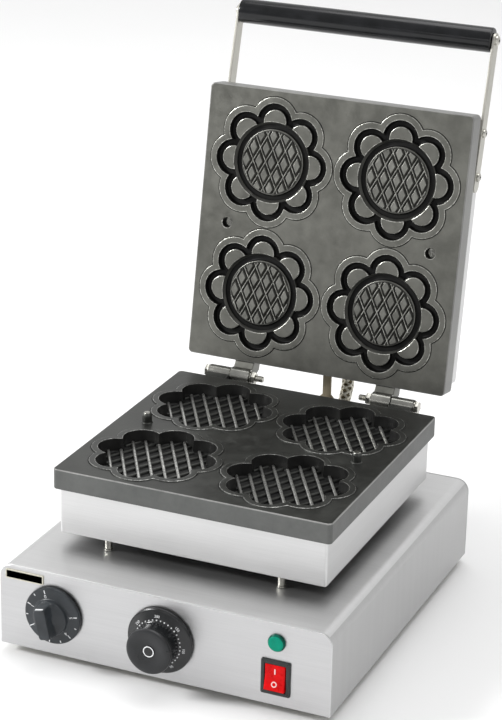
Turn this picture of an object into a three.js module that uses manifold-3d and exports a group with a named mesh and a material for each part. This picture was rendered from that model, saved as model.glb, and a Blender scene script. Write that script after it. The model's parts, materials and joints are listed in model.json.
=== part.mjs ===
// Countertop flower waffle maker: a steel control base, a lower heated mould on four posts,
// and a hinged upper mould with a bar handle.
// Millimetres, +Z up, +Y to the back. The model is drawn with y = 0 on the front panel and
// z = 0 on the table, then moved so that its origin is the bottom centre of its bounding box.

import * as THREE from 'three';
import { mergeVertices } from 'three/addons/utils/BufferGeometryUtils.js';
import Module from 'manifold-3d';

const wasm = await Module();
wasm.setup();

// ---- driving dimensions -------------------------------------------------------------------

const GAP = 0.3; // clearance between touching pieces
const SHEET = 1.5; // stainless sheet thickness

const FOOT = { height: 8, radius: 9, inset: 32 };
const BASE = { width: 294, depth: 330, height: 72.5, bend: 11 };

const PLATE = { size: 248, corner: 4, front: 49, lowerThickness: 18, upperThickness: 20 };
const PLATE_TOP = FOOT.height + 142; // cooking face of the lower mould
const CLOSED_GAP = 2; // between the two cooking faces when shut
const HOUSING = { inset: 4.5, corner: 2.2, bottom: FOOT.height + 83.5 };
const COVER = { depth: 25 };
const POST = { x: 78, front: 61, back: 285, radius: 3.8, stud: 2 };

const FLOWER = { pitch: 119, lobes: 8, lobeCentre: 36.5, lobe: 16.5, petal: 11.5, core: 34 };
const CAVITY_DEPTH = 11.5;
const LAND = { width: 5.6, height: 0.8 };
const RING_GROOVE = { inner: 29.5, outer: 36, depth: 5 };
const PIN = { x: 97, radius: 4.2, height: 9.5, stem: 3.4, stemDepth: 8, holeRadius: 5.3, holeDepth: 12 };

const HINGE = { y: 310, z: PLATE_TOP - 0.5, knuckle: 6.5, bolt: 2.9, bore: 3.2 };
const HINGE_BOLT = { tip: 46.5, hexagon: 10, headHeight: 4, nutHeight: 5 };
const LID_LUG = { inner: 59, outer: 77.5 };
const BASE_LUG = { inner: 77.8, outer: 98.9 };
const OPEN_ANGLE = THREE.MathUtils.degToRad(100); // lid as stored, measured from shut

const ARM = { width: 13, thickness: 2.5, tipY: -14, tipZ: 197.7, rootY: 112.5, rootZ: 185.8 };
const ARM_SCREWS = { y: [66.8, 105.1], reach: 112 };
const GRIP = { radius: 11, bore: 3.6, rod: 3.2, screwHead: 4.6 };
const SCREW = { shank: 2.1, hole: 2.4, head: 4, headHeight: 2.3 };

const TIMER = { x: -97, z: 44.5, turn: THREE.MathUtils.degToRad(-12) };
const THERMOSTAT = { x: 0, z: 44 };
const LAMP = { x: 100.5, z: 64, radius: 7.5 };
const SWITCH = { x: 100.3, z: 33, width: 25.5, height: 31, bodyWidth: 22, bodyHeight: 27.6 };
const ROCKER = { width: 17.5, height: 22, rest: THREE.MathUtils.degToRad(-7) };
const SHAFT = { radius: 3, hole: 3.4, reach: 15 };
const TIMER_BODY = { width: 46, height: 46, depth: 34 };
const THERMOSTAT_BODY = { width: 38, height: 46, depth: 30 };
const TERMINALS = { count: 4, x: 38, pitch: 12.5, hole: 2.2 };
const HEATER = { radius: 3.8, offset: 4.6 };
const CLAMP = { width: 204, near: 9, far: 11 };
const INSULATION = { width: 212, near: 11.3, far: 20 };
const BADGE = { x: -124, z: 73, width: 35, height: 8.5 };

const CONDUIT = { radius: 5, bottomX: 18, topX: 22, y: 312, glandLength: 9.6, hole: 6 };
const CABLE_GLAND = { x: 100, z: 34, hole: 8.4 };
const VENT = { count: 5, x: -60, z: 44, pitch: 14, width: 4, height: 30 };
const STOP = { x: 9, width: 8, footWidth: 13, y: 325.8, thickness: 2.2 };

const ROUND = 20; // sides of an ordinary round piece
const SMALL_ROUND = 12; // sides of a screw or a pin

// ---- materials ----------------------------------------------------------------------------

function finish(color, roughness, metalness) {
  return new THREE.MeshStandardMaterial({ color, roughness, metalness });
}

const STAINLESS = finish(0xc9c9c6, 0.35, 1);
const ZINC = finish(0xb7b5ae, 0.4, 1);
const IRON = finish(0x474745, 0.6, 0.6);
const LID_IRON = finish(0x6b6b64, 0.55, 0.6);
const RUBBER = finish(0x1c1c1c, 0.9, 0);
const GRIP_PLASTIC = finish(0x121316, 0.3, 0);
const KNOB_PLASTIC = finish(0x3a3d42, 0.45, 0);
const HOUSING_PLASTIC = finish(0x26282a, 0.5, 0);
const RED_PLASTIC = finish(0xd8141c, 0.3, 0);
const LENS_GREEN = finish(0x068a6c, 0.15, 0);
const CERAMIC = finish(0xe9e6dc, 0.7, 0);
const WOOL = finish(0xd9d2bd, 0.95, 0);
const HEATER_STEEL = finish(0x6f6a62, 0.5, 0.9);
const BRASS = finish(0xb39a5c, 0.35, 1);

// ---- geometry helpers ---------------------------------------------------------------------

// A closed three.js geometry as a solid that can be joined and cut.
function solid(geometry) {
  const bare = geometry.clone();
  bare.deleteAttribute('normal');
  bare.deleteAttribute('uv');
  const merged = mergeVertices(bare, 1e-4);
  const corners = merged.index.array;
  const triangles = [];
  for (let i = 0; i < corners.length; i += 3) {
    const [a, b, c] = [corners[i], corners[i + 1], corners[i + 2]];
    if (a !== b && b !== c && c !== a) triangles.push(a, b, c);
  }
  return new wasm.Manifold(new wasm.Mesh({
    numProp: 3,
    vertProperties: Float32Array.from(merged.attributes.position.array),
    triVerts: Uint32Array.from(triangles),
  }));
}

function geometryOf(shape) {
  const mesh = shape.getMesh();
  const geometry = new THREE.BufferGeometry();
  geometry.setAttribute('position', new THREE.BufferAttribute(mesh.vertProperties, 3));
  geometry.setIndex(new THREE.BufferAttribute(mesh.triVerts, 1));
  geometry.computeVertexNormals();
  return geometry;
}

function join(first, ...others) {
  return others.reduce((whole, piece) => whole.add(piece), first);
}

function cut(first, ...tools) {
  return tools.reduce((whole, tool) => whole.subtract(tool), first);
}

// Extrudes an outline between two values of an axis. The outline's own x and y are the row's
// x and y for axis z, x and z for axis y, and y and z for axis x. Each arc gets that many
// segments (three.js doubles curveSegments on an arc).
function prism(outline, axis, from, to, segments = 6) {
  const depth = to - from;
  const geometry = new THREE.ExtrudeGeometry(outline, {
    depth, bevelEnabled: false, curveSegments: segments / 2,
  });
  if (axis === 'z') geometry.translate(0, 0, from);
  if (axis === 'y') geometry.rotateX(Math.PI / 2).translate(0, to, 0);
  if (axis === 'x') geometry.rotateX(Math.PI / 2).rotateZ(Math.PI / 2).translate(from, 0, 0);
  return solid(geometry);
}

function polygon(points) {
  return new THREE.Shape(points.map(([u, v]) => new THREE.Vector2(u, v)));
}

function circle(u, v, radius) {
  return new THREE.Shape().absarc(u, v, radius, 0, 2 * Math.PI);
}

function rod(axis, u, v, radius, from, to, sides = ROUND) {
  return prism(circle(u, v, radius), axis, from, to, sides);
}

function hexagon(u, v, acrossFlats) {
  const corner = acrossFlats / Math.sqrt(3);
  const points = [];
  for (let i = 0; i < 6; i += 1) {
    const angle = (i * Math.PI) / 3;
    points.push([u + corner * Math.cos(angle), v + corner * Math.sin(angle)]);
  }
  return polygon(points);
}

// Rectangle centred on (u, v) with rounded corners.
function roundedRectangle(u, v, width, height, radius) {
  const [w, h, r] = [width / 2, height / 2, radius];
  const outline = new THREE.Shape();
  outline.moveTo(u - w + r, v - h);
  outline.absarc(u + w - r, v - h + r, r, -Math.PI / 2, 0);
  outline.absarc(u + w - r, v + h - r, r, 0, Math.PI / 2);
  outline.absarc(u - w + r, v + h - r, r, Math.PI / 2, Math.PI);
  outline.absarc(u - w + r, v - h + r, r, Math.PI, 1.5 * Math.PI);
  return outline;
}

function box(x0, x1, y0, y1, z0, z1) {
  const geometry = new THREE.BoxGeometry(x1 - x0, y1 - y0, z1 - z0);
  return solid(geometry.translate((x0 + x1) / 2, (y0 + y1) / 2, (z0 + z1) / 2));
}

// A turned piece on the Z axis from [radius, z] points, moved to (x, y).
function turned(profile, x = 0, y = 0, sides = ROUND) {
  const points = profile.map(([r, z]) => new THREE.Vector2(r, z));
  return solid(new THREE.LatheGeometry(points, sides).rotateX(Math.PI / 2).translate(x, y, 0));
}

// A turned piece that faces the front: [radius, reach] points, reach measured towards -Y.
function turnedToFront(profile, x, z, sides = ROUND) {
  const points = profile.map(([r, reach]) => new THREE.Vector2(r, reach));
  return solid(new THREE.LatheGeometry(points, sides).rotateX(Math.PI).translate(x, 0, z));
}

// A round bar bent along a smooth curve through the points.
function bentBar(points, radius, steps, sides = 8) {
  const path = new THREE.CatmullRomCurve3(points.map((p) => new THREE.Vector3(...p)));
  return solid(new THREE.ExtrudeGeometry(circle(0, 0, radius), {
    steps, extrudePath: path, curveSegments: sides / 2, bevelEnabled: false,
  }));
}

function addPiece(group, name, shape, material) {
  const mesh = new THREE.Mesh(geometryOf(shape), material);
  mesh.name = name;
  group.add(mesh);
  return mesh;
}

// ---- derived positions --------------------------------------------------------------------

const baseTop = FOOT.height + BASE.height;
const plateBack = PLATE.front + PLATE.size;
const plateMiddle = (PLATE.front + plateBack) / 2;
const plateBottom = PLATE_TOP - PLATE.lowerThickness;
const lidFace = PLATE_TOP + CLOSED_GAP;
const lidBack = lidFace + PLATE.upperThickness;
const coverSize = PLATE.size - 2 * HOUSING.inset;
const coverSide = coverSize / 2;
const coverTop = lidBack + GAP + COVER.depth;
const flowerCentres = [-1, 1].flatMap((sx) => [-1, 1].map((sy) => [
  (sx * FLOWER.pitch) / 2, plateMiddle + (sy * FLOWER.pitch) / 2,
]));
const sides = [['left', -1], ['right', 1]];

// ---- base ---------------------------------------------------------------------------------

// Front outline of the base: square at the table, rounded where the sheet bends over the top.
function baseOutline(offset) {
  const [half, top, r] = [BASE.width / 2 - offset, baseTop - offset, BASE.bend - offset];
  const outline = new THREE.Shape();
  outline.moveTo(-half, FOOT.height);
  outline.lineTo(half, FOOT.height);
  outline.lineTo(half, top - r);
  outline.absarc(half - r, top - r, r, 0, Math.PI / 2);
  outline.lineTo(-half + r, top);
  outline.absarc(-half + r, top - r, r, Math.PI / 2, Math.PI);
  return outline;
}

function postPlaces() {
  return [['front', POST.front], ['back', POST.back]].flatMap(([row, y]) => (
    sides.map(([side, s]) => ({ name: `${row}_${side}`, x: s * POST.x, y }))));
}

function baseShell() {
  const [front, back] = [SHEET + GAP, BASE.depth - SHEET - GAP];
  const inside = baseOutline(SHEET);
  let shell = cut(
    prism(baseOutline(0), 'y', front, back),
    prism(inside, 'y', front - 1, back + 1),
    box(-BASE.width / 2 + SHEET, BASE.width / 2 - SHEET, front - 1, back + 1, 0, FOOT.height + 20),
  );
  for (const { x, y } of postPlaces()) {
    shell = cut(shell, rod('z', x, y, SCREW.hole, baseTop - 5, baseTop + 1, SMALL_ROUND));
  }
  const capillaryHole = rod('z', 0, 240, 4, baseTop - 5, baseTop + 1, SMALL_ROUND);
  const conduitHole = rod('z', CONDUIT.bottomX, CONDUIT.y, 6.4, baseTop - 5, baseTop + 1);
  return cut(shell, capillaryHole, conduitHole);
}

function frontPanel() {
  const through = [-1, SHEET + 1];
  return cut(
    prism(baseOutline(0), 'y', 0, SHEET),
    rod('y', TIMER.x, TIMER.z, 5, ...through),
    rod('y', THERMOSTAT.x, THERMOSTAT.z, 5, ...through),
    rod('y', LAMP.x, LAMP.z, 6.4, ...through),
    prism(roundedRectangle(
      SWITCH.x, SWITCH.z, SWITCH.bodyWidth + 0.6, SWITCH.bodyHeight + 0.6, 1,
    ), 'y', ...through, 2),
  );
}

function rearPanel() {
  const back = BASE.depth;
  let panel = cut(
    prism(baseOutline(0), 'y', back - SHEET, back),
    rod('y', CABLE_GLAND.x, CABLE_GLAND.z, CABLE_GLAND.hole, back - SHEET - 1, back + 1),
  );
  for (let i = 0; i < VENT.count; i += 1) {
    const x = VENT.x + i * VENT.pitch;
    const slot = roundedRectangle(x, VENT.z, VENT.width, VENT.height, VENT.width / 2 - 0.1);
    panel = cut(panel, prism(slot, 'y', back - SHEET - 1, back + 1, 2));
  }
  return panel;
}

function bottomPlate() {
  const half = BASE.width / 2 - SHEET - GAP;
  let plate = box(
    -half, half, SHEET + 2 * GAP, BASE.depth - SHEET - 2 * GAP, FOOT.height, FOOT.height + SHEET,
  );
  for (const { x, y } of footPlaces()) {
    plate = cut(plate, rod('z', x, y, SCREW.hole, 0, 20, SMALL_ROUND));
  }
  return plate;
}

function footPlaces() {
  const x = BASE.width / 2 - FOOT.inset;
  return [['front', FOOT.inset], ['back', BASE.depth - FOOT.inset]].flatMap(([row, y]) => (
    sides.map(([side, s]) => ({ name: `${row}_${side}`, x: s * x, y }))));
}

// Tapered rubber foot with a recess for its screw head.
function foot(x, y) {
  return turned([
    [SCREW.hole, 4.5], [4.6, 4.5], [4.6, 0], [FOOT.radius - 1.5, 0], [FOOT.radius - 0.6, 0.8],
    [FOOT.radius, FOOT.height - GAP], [SCREW.hole, FOOT.height - GAP], [SCREW.hole, 4.5],
  ], x, y, 16);
}

function footScrew(x, y) {
  return join(
    rod('z', x, y, SCREW.head, 1.8, 4.2, SMALL_ROUND),
    rod('z', x, y, SCREW.shank, 4.1, 14, SMALL_ROUND),
  );
}

// Spacer post with a peened stud at each end.
function post(x, y) {
  const [foot0, head] = [baseTop + GAP, HOUSING.bottom - GAP];
  return turned([
    [0, baseTop - 3], [POST.stud, baseTop - 3], [POST.stud, foot0], [POST.radius, foot0],
    [POST.radius, head], [POST.stud, head], [POST.stud, HOUSING.bottom + 2.6],
    [0, HOUSING.bottom + 2.6],
  ], x, y, SMALL_ROUND);
}

// ---- lower mould --------------------------------------------------------------------------

function squareTray(z0, z1, floorZ0, floorZ1) {
  const outer = roundedRectangle(0, plateMiddle, coverSize, coverSize, HOUSING.corner);
  const inner = roundedRectangle(
    0, plateMiddle, coverSize - 2 * SHEET, coverSize - 2 * SHEET, HOUSING.corner - SHEET,
  );
  const tray = cut(prism(outer, 'z', z0, z1, 4), prism(inner, 'z', z0 - 1, z1 + 1, 4));
  return join(tray, prism(inner, 'z', floorZ0, floorZ1, 4));
}

function lowerHousing() {
  let tray = squareTray(
    HOUSING.bottom, plateBottom - GAP, HOUSING.bottom, HOUSING.bottom + SHEET,
  );
  for (const { x, y } of postPlaces()) {
    tray = cut(tray, rod('z', x, y, SCREW.hole, HOUSING.bottom - 1, HOUSING.bottom + 3, SMALL_ROUND));
  }
  return cut(tray, rod('z', 0, 240, 4, HOUSING.bottom - 1, HOUSING.bottom + 3, SMALL_ROUND));
}

// Eight-lobed flower outline: arcs of one radius round the ends of eight spokes.
function flower(x, y, lobeRadius) {
  const half = Math.PI / FLOWER.lobes;
  const toNeighbour = FLOWER.lobeCentre * Math.sin(half);
  const sweep = half + Math.PI / 2 - Math.acos(toNeighbour / lobeRadius);
  const outline = new THREE.Shape();
  for (let i = 0; i < FLOWER.lobes; i += 1) {
    const spoke = 2 * half * i;
    const u = x + FLOWER.lobeCentre * Math.cos(spoke);
    const v = y + FLOWER.lobeCentre * Math.sin(spoke);
    outline.absarc(u, v, lobeRadius, spoke - sweep, spoke + sweep);
  }
  return outline;
}

function plateBlank(z0, z1) {
  const outline = roundedRectangle(0, plateMiddle, PLATE.size, PLATE.size, PLATE.corner);
  return prism(outline, 'z', z0, z1, 4);
}

// One hinge lug on each side, from the plate's rear edge round the hinge axis.
function hingeLugs(profile, inner, outer) {
  return sides.map(([, s]) => {
    const [x0, x1] = s > 0 ? [inner, outer] : [-outer, -inner];
    return cut(
      join(
        prism(polygon(profile), 'x', x0, x1),
        rod('x', HINGE.y, HINGE.z, HINGE.knuckle, x0, x1, ROUND),
      ),
      rod('x', HINGE.y, HINGE.z, HINGE.bore, x0 - 1, x1 + 1, SMALL_ROUND),
    );
  });
}

function lowerPlate() {
  const lugProfile = [
    [plateBack - 3, plateBottom + 2.5], [HINGE.y - 6, plateBottom + 3],
    [HINGE.y + 5.6, HINGE.z - 3.2], [HINGE.y - 1, HINGE.z + 6.3], [HINGE.y - 6, HINGE.z + 2.2],
    [plateBack - 3, PLATE_TOP - 0.8],
  ];
  let plate = join(
    plateBlank(plateBottom, PLATE_TOP),
    ...hingeLugs(lugProfile, BASE_LUG.inner, BASE_LUG.outer),
  );
  for (const [x, y] of flowerCentres) {
    plate = join(plate, prism(
      flower(x, y, FLOWER.lobe + LAND.width), 'z', PLATE_TOP - 1, PLATE_TOP + LAND.height, 4,
    ));
  }
  for (const [x, y] of flowerCentres) {
    plate = cut(plate, prism(
      flower(x, y, FLOWER.lobe), 'z', PLATE_TOP - CAVITY_DEPTH, PLATE_TOP + 5, 4,
    ));
  }
  for (const [, s] of sides) {
    const depth = PIN.stemDepth + 1;
    plate = cut(plate, rod(
      'z', s * PIN.x, plateMiddle, PIN.stem + GAP, PLATE_TOP - depth, PLATE_TOP + 1, SMALL_ROUND,
    ));
  }
  return plate;
}

// Guide pin: a stem pressed in the lower plate and a tapered head that enters the upper one.
function guidePin(x) {
  return turned([
    [0, PLATE_TOP - PIN.stemDepth], [PIN.stem, PLATE_TOP - PIN.stemDepth],
    [PIN.stem, PLATE_TOP + GAP], [PIN.radius, PLATE_TOP + GAP],
    [PIN.radius, PLATE_TOP + PIN.height - 3], [PIN.radius - 1.6, PLATE_TOP + PIN.height],
    [0, PLATE_TOP + PIN.height],
  ], x, plateMiddle, 16);
}

// Sheathed heating element bent in an M under the mould, its two ends together at the back.
function heater(z) {
  const half = [[-22, 284], [-80, 272], [-96, 240], [-96, 100], [-70, 84], [-44, 100], [-38, 190]];
  const left = half.map(([x, y]) => [x, y, z]);
  const right = half.map(([x, y]) => [-x, y, z]).reverse();
  return bentBar([...left, [0, 214, z], ...right], HEATER.radius, 36, 6);
}

function squareSheet(width, z0, z1) {
  return box(-width / 2, width / 2, plateMiddle - width / 2, plateMiddle + width / 2, z0, z1);
}

// ---- hinge, stop and conduit --------------------------------------------------------------

function hingeBolt(s) {
  const [tip, seat] = [HINGE_BOLT.tip, BASE_LUG.outer + GAP];
  const head = seat + HINGE_BOLT.headHeight;
  const [shank0, shank1] = s > 0 ? [tip, seat + 1] : [-seat - 1, -tip];
  const [head0, head1] = s > 0 ? [seat, head] : [-head, -seat];
  return join(
    rod('x', HINGE.y, HINGE.z, HINGE.bolt, shank0, shank1, SMALL_ROUND),
    prism(hexagon(HINGE.y, HINGE.z, HINGE_BOLT.hexagon), 'x', head0, head1),
  );
}

function hingeNut(s) {
  const outer = LID_LUG.inner - GAP;
  const inner = outer - HINGE_BOLT.nutHeight;
  const [x0, x1] = s > 0 ? [inner, outer] : [-outer, -inner];
  return cut(
    prism(hexagon(HINGE.y, HINGE.z, HINGE_BOLT.hexagon), 'x', x0, x1),
    rod('x', HINGE.y, HINGE.z, HINGE.bolt + GAP, x0 - 1, x1 + 1, SMALL_ROUND),
  );
}

// Folded strip on the housing's rear wall; the open lid's lower edge rests on its top.
function lidStop() {
  const wall = plateMiddle + coverSide + GAP;
  const shelf = plateBottom - GAP - STOP.thickness;
  const half = STOP.footWidth / 2;
  const top = HINGE.z + 9.7;
  const upright = new THREE.Shape();
  upright.moveTo(STOP.x - half, shelf);
  upright.lineTo(STOP.x + half, shelf);
  upright.lineTo(STOP.x + half, HINGE.z - 2.5);
  upright.lineTo(STOP.x + STOP.width / 2, HINGE.z);
  upright.lineTo(STOP.x + STOP.width / 2, top);
  upright.lineTo(STOP.x - STOP.width / 2, top);
  upright.lineTo(STOP.x - STOP.width / 2, HINGE.z);
  upright.lineTo(STOP.x - half, HINGE.z - 2.5);
  return join(
    box(STOP.x - half, STOP.x + half, wall, wall + STOP.thickness, shelf - 22, shelf + 1),
    box(STOP.x - half, STOP.x + half, wall, STOP.y + 1, shelf, shelf + STOP.thickness),
    prism(upright, 'y', STOP.y, STOP.y + STOP.thickness),
  );
}

// Screwed gland round a flexible conduit: locknut flange, hexagon and collar, open through.
function conduitGland() {
  return [
    [CONDUIT.radius, 0], [9, 0], [9, 3], [7.6, 3.6], [7.6, 8], [6.8, CONDUIT.glandLength],
    [CONDUIT.radius, CONDUIT.glandLength],
    [CONDUIT.radius, 0],
  ];
}

function lowerGland() {
  const profile = conduitGland().map(([r, h]) => [r, baseTop + GAP + h]);
  return turned(profile, CONDUIT.bottomX, CONDUIT.y, 16);
}

function upperGland() {
  const wall = plateMiddle + coverSide + GAP;
  const geometry = new THREE.LatheGeometry(
    conduitGland().map(([r, h]) => new THREE.Vector2(r, h)), 16,
  );
  return solid(geometry.translate(CONDUIT.topX, wall, lidBack + COVER.depth / 2));
}

// Point of the shut lid, carried to where it is with the lid open.
function opened([x, y, z]) {
  const axis = new THREE.Vector3(0, HINGE.y, HINGE.z);
  const point = new THREE.Vector3(x, y, z).sub(axis);
  return point.applyAxisAngle(new THREE.Vector3(1, 0, 0), -OPEN_ANGLE).add(axis).toArray();
}

function braidedConduit() {
  const bottom = baseTop + GAP + CONDUIT.glandLength + GAP;
  const wall = plateMiddle + coverSide + GAP + CONDUIT.glandLength + GAP;
  const middle = lidBack + COVER.depth / 2;
  const end = opened([CONDUIT.topX, wall, middle]);
  const nearEnd = opened([CONDUIT.topX, wall + 9, middle]);
  return bentBar([
    [CONDUIT.bottomX, CONDUIT.y, bottom], [CONDUIT.bottomX, CONDUIT.y, bottom + 9],
    [CONDUIT.bottomX + 1, CONDUIT.y + 8, bottom + 24],
    [CONDUIT.bottomX + 3, CONDUIT.y + 24, bottom + 36], nearEnd, end,
  ], CONDUIT.radius - 0.4, 24, 10);
}

// ---- controls -----------------------------------------------------------------------------

// Driven box behind the panel with a blind bore for its knob's shaft.
function controlBody({ x, z }, { width, height, depth }) {
  const front = SHEET + GAP;
  return cut(
    prism(roundedRectangle(x, z, width, height, 3), 'y', front, front + depth, 2),
    rod('y', x, z, SHAFT.hole, front - 1, front + 9, SMALL_ROUND),
  );
}

function knobShaft({ x, z }, reach) {
  return rod('y', x, z, SHAFT.radius, -reach, SHEET + GAP + 8, SMALL_ROUND);
}

function shaftBore({ x, z }, reach) {
  return rod('y', x, z, SHAFT.hole, -reach - 1, 5, SMALL_ROUND);
}

// Skirted knob with a bar grip across its hub, drawn on the origin.
function timerKnob() {
  const body = turnedToFront([
    [0, 1], [24.6, 1], [25.2, 1.6], [25.2, 3.2], [24.2, 4.4], [16, 5.6], [15.4, 11], [14, 12.4],
    [0, 12.4],
  ], 0, 0, 30);
  const bar = prism(roundedRectangle(0, 0, 10.4, 27, 3), 'y', -22.5, -4, 4);
  return cut(join(body, bar), shaftBore({ x: 0, z: 0 }, SHAFT.reach + 1));
}

// Skirted knob with a round grip and a small cap.
function thermostatKnob() {
  const { x, z } = THERMOSTAT;
  const body = turnedToFront([
    [0, 1], [28, 1], [28.6, 1.8], [28.6, 3.4], [27.6, 4.4], [19.2, 7.6], [18.4, 9], [19.8, 23],
    [18.4, 25.2], [14, 25.4], [8, 23.8], [0, 23.8],
  ], x, z, 30);
  return cut(body, shaftBore(THERMOSTAT, SHAFT.reach + 1));
}

// Thin capillary from the thermostat to its bulb under the lower mould.
function capillary() {
  const bulbZ = plateBottom - 14;
  const tube = bentBar([
    [0, 34, 58], [0, 60, 66], [-30, 150, 66], [0, 238, 68], [0, 240, HOUSING.bottom],
    [0, 240, bulbZ - 16], [4, 230, bulbZ - 2], [10, 216, bulbZ],
  ], 1.2, 30, 6);
  const bulb = rod('y', 10, bulbZ, 3, 140, 217, SMALL_ROUND);
  return join(tube, bulb);
}

// Snap-in housing of the rocker: bezel, body and the well that the rocker tips in.
function switchBody() {
  const { x, z } = SWITCH;
  return cut(
    join(
      prism(roundedRectangle(x, z, SWITCH.width, SWITCH.height, 1.5), 'y', -2.2, -GAP, 2),
      prism(roundedRectangle(x, z, SWITCH.bodyWidth, SWITCH.bodyHeight, 1), 'y', -1, 22, 2),
    ),
    prism(roundedRectangle(x, z, ROCKER.width + 1, ROCKER.height + 1.6, 1), 'y', -3, 10, 2),
  );
}

// Two-faced rocker on a pivot across its well, tipped with its upper half pressed in.
function rocker() {
  const [half, pivotY] = [ROCKER.height / 2, 2.5];
  const profile = new THREE.Shape();
  profile.moveTo(-3.9 - pivotY, -half);
  profile.lineTo(-2.6 - pivotY, 0);
  profile.lineTo(-3.9 - pivotY, half);
  profile.lineTo(-0.4 - pivotY, half);
  profile.lineTo(2.6, 3);
  profile.lineTo(2.6, -3);
  profile.lineTo(-0.4 - pivotY, -half);
  const geometry = new THREE.ExtrudeGeometry(profile, { depth: ROCKER.width, bevelEnabled: false });
  geometry.rotateX(Math.PI / 2).rotateZ(Math.PI / 2).translate(-ROCKER.width / 2, 0, 0);
  return solid(geometry.rotateX(ROCKER.rest).translate(SWITCH.x, pivotY, SWITCH.z));
}

function lampLens() {
  const r = LAMP.radius;
  return turnedToFront(
    [[0, GAP], [r, GAP], [r, 1.8], [r - 1.2, 2.8], [r - 3, 3.4], [0, 3.8]], LAMP.x, LAMP.z, 24,
  );
}

function lampBody() {
  return join(
    rod('y', LAMP.x, LAMP.z, 6, 0.3, 22),
    rod('y', LAMP.x, LAMP.z, 4, 21, 27, SMALL_ROUND),
  );
}

function terminalBlock() {
  let block = box(30, 84, 285, 303, FOOT.height + SHEET + GAP, FOOT.height + SHEET + 18);
  for (let i = 0; i < TERMINALS.count; i += 1) {
    const x = TERMINALS.x + i * TERMINALS.pitch;
    block = cut(block, rod('y', x, FOOT.height + 9, TERMINALS.hole, 280, 310, SMALL_ROUND));
  }
  return block;
}

// Mains inlet gland, open through; the cord itself isn't part of the model.
function cableGland() {
  const back = BASE.depth;
  const profile = [
    [4, -12], [8, -12], [8, 0.3], [11, 0.3], [11, 4.5], [8.6, 5.5], [7.6, 14], [4, 14], [4, -12],
  ];
  const geometry = new THREE.LatheGeometry(profile.map(([r, h]) => new THREE.Vector2(r, h)), 18);
  return solid(geometry.translate(CABLE_GLAND.x, back, CABLE_GLAND.z));
}

function badge() {
  return prism(roundedRectangle(BADGE.x, BADGE.z, BADGE.width, BADGE.height, 1.5), 'y', -1.1, -GAP, 4);
}

// ---- lid, drawn shut ----------------------------------------------------------------------

// Groove pattern of one flower: the outline's rim and the ring, round eight petals and a disc.
function flowerGroove(x, y) {
  const [z0, z1] = [lidFace - 2, lidFace + RING_GROOVE.depth];
  const petals = [];
  for (let i = 0; i < FLOWER.lobes; i += 1) {
    const spoke = (2 * Math.PI * i) / FLOWER.lobes;
    const u = x + FLOWER.lobeCentre * Math.cos(spoke);
    const v = y + FLOWER.lobeCentre * Math.sin(spoke);
    petals.push(rod('z', u, v, FLOWER.petal, z0 - 1, z1 + 1, 12));
  }
  const ring = cut(
    rod('z', x, y, RING_GROOVE.outer, z0, z1, 24),
    rod('z', x, y, RING_GROOVE.inner, z0 - 1, z1 + 1, 24),
  );
  const rim = cut(
    prism(flower(x, y, FLOWER.lobe), 'z', z0, z1, 4),
    ...petals,
    rod('z', x, y, FLOWER.core, z0 - 1, z1 + 1, 24),
  );
  return join(rim, ring);
}

function lidPlate() {
  const lugProfile = [
    [plateBack - 3, lidFace + 4], [HINGE.y - 6.2, HINGE.z + 1.6], [HINGE.y + 6.2, HINGE.z + 1.6],
    [HINGE.y - 4, lidFace + 16.5], [plateBack - 3, lidFace + 18],
  ];
  let plate = join(
    plateBlank(lidFace, lidBack),
    ...hingeLugs(lugProfile, LID_LUG.inner, LID_LUG.outer),
  );
  for (const [x, y] of flowerCentres) {
    const land = prism(
      flower(x, y, FLOWER.lobe + LAND.width), 'z', lidFace - LAND.height, lidFace + 1, 4,
    );
    const inside = prism(flower(x, y, FLOWER.lobe), 'z', lidFace - 2, lidFace + 2, 4);
    plate = join(plate, cut(land, inside));
  }
  for (const [x, y] of flowerCentres) {
    plate = cut(plate, flowerGroove(x, y));
  }
  for (const [, s] of sides) {
    plate = cut(plate, rod(
      'z', s * PIN.x, plateMiddle, PIN.holeRadius, lidFace - 1, lidFace + PIN.holeDepth, 16,
    ));
  }
  return plate;
}

function armHeight(y) {
  return ARM.tipZ + ((ARM.rootZ - ARM.tipZ) * (y - ARM.tipY)) / (ARM.rootY - ARM.tipY);
}

function lidCover() {
  let tray = squareTray(lidBack + GAP, coverTop, coverTop - SHEET, coverTop);
  for (const y of ARM_SCREWS.y) {
    tray = cut(tray, rod('x', y, armHeight(y), SCREW.hole, -130, 130, SMALL_ROUND));
  }
  const wire = rod(
    'y', CONDUIT.topX, lidBack + COVER.depth / 2, CONDUIT.hole, 280, 300, SMALL_ROUND,
  );
  return cut(tray, wire);
}

function handleArm(s) {
  const [root, tip] = [
    new THREE.Vector2(ARM.rootY, armHeight(ARM.rootY)), new THREE.Vector2(ARM.tipY, ARM.tipZ),
  ];
  const lean = Math.atan2(tip.y - root.y, root.x - tip.x);
  const r = ARM.width / 2;
  const outline = new THREE.Shape();
  outline.absarc(root.x, root.y, r, -Math.PI / 2 - lean, Math.PI / 2 - lean);
  outline.absarc(tip.x, tip.y, r, Math.PI / 2 - lean, 1.5 * Math.PI - lean);
  const inner = coverSide + GAP;
  const [x0, x1] = s > 0 ? [inner, inner + ARM.thickness] : [-inner - ARM.thickness, -inner];
  const holes = [...ARM_SCREWS.y, ARM.tipY].map((y) => (
    rod('x', y, armHeight(y), SCREW.hole, x0 - 1, x1 + 1, SMALL_ROUND)));
  return cut(prism(outline, 'x', x0, x1, 8), ...holes);
}

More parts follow.
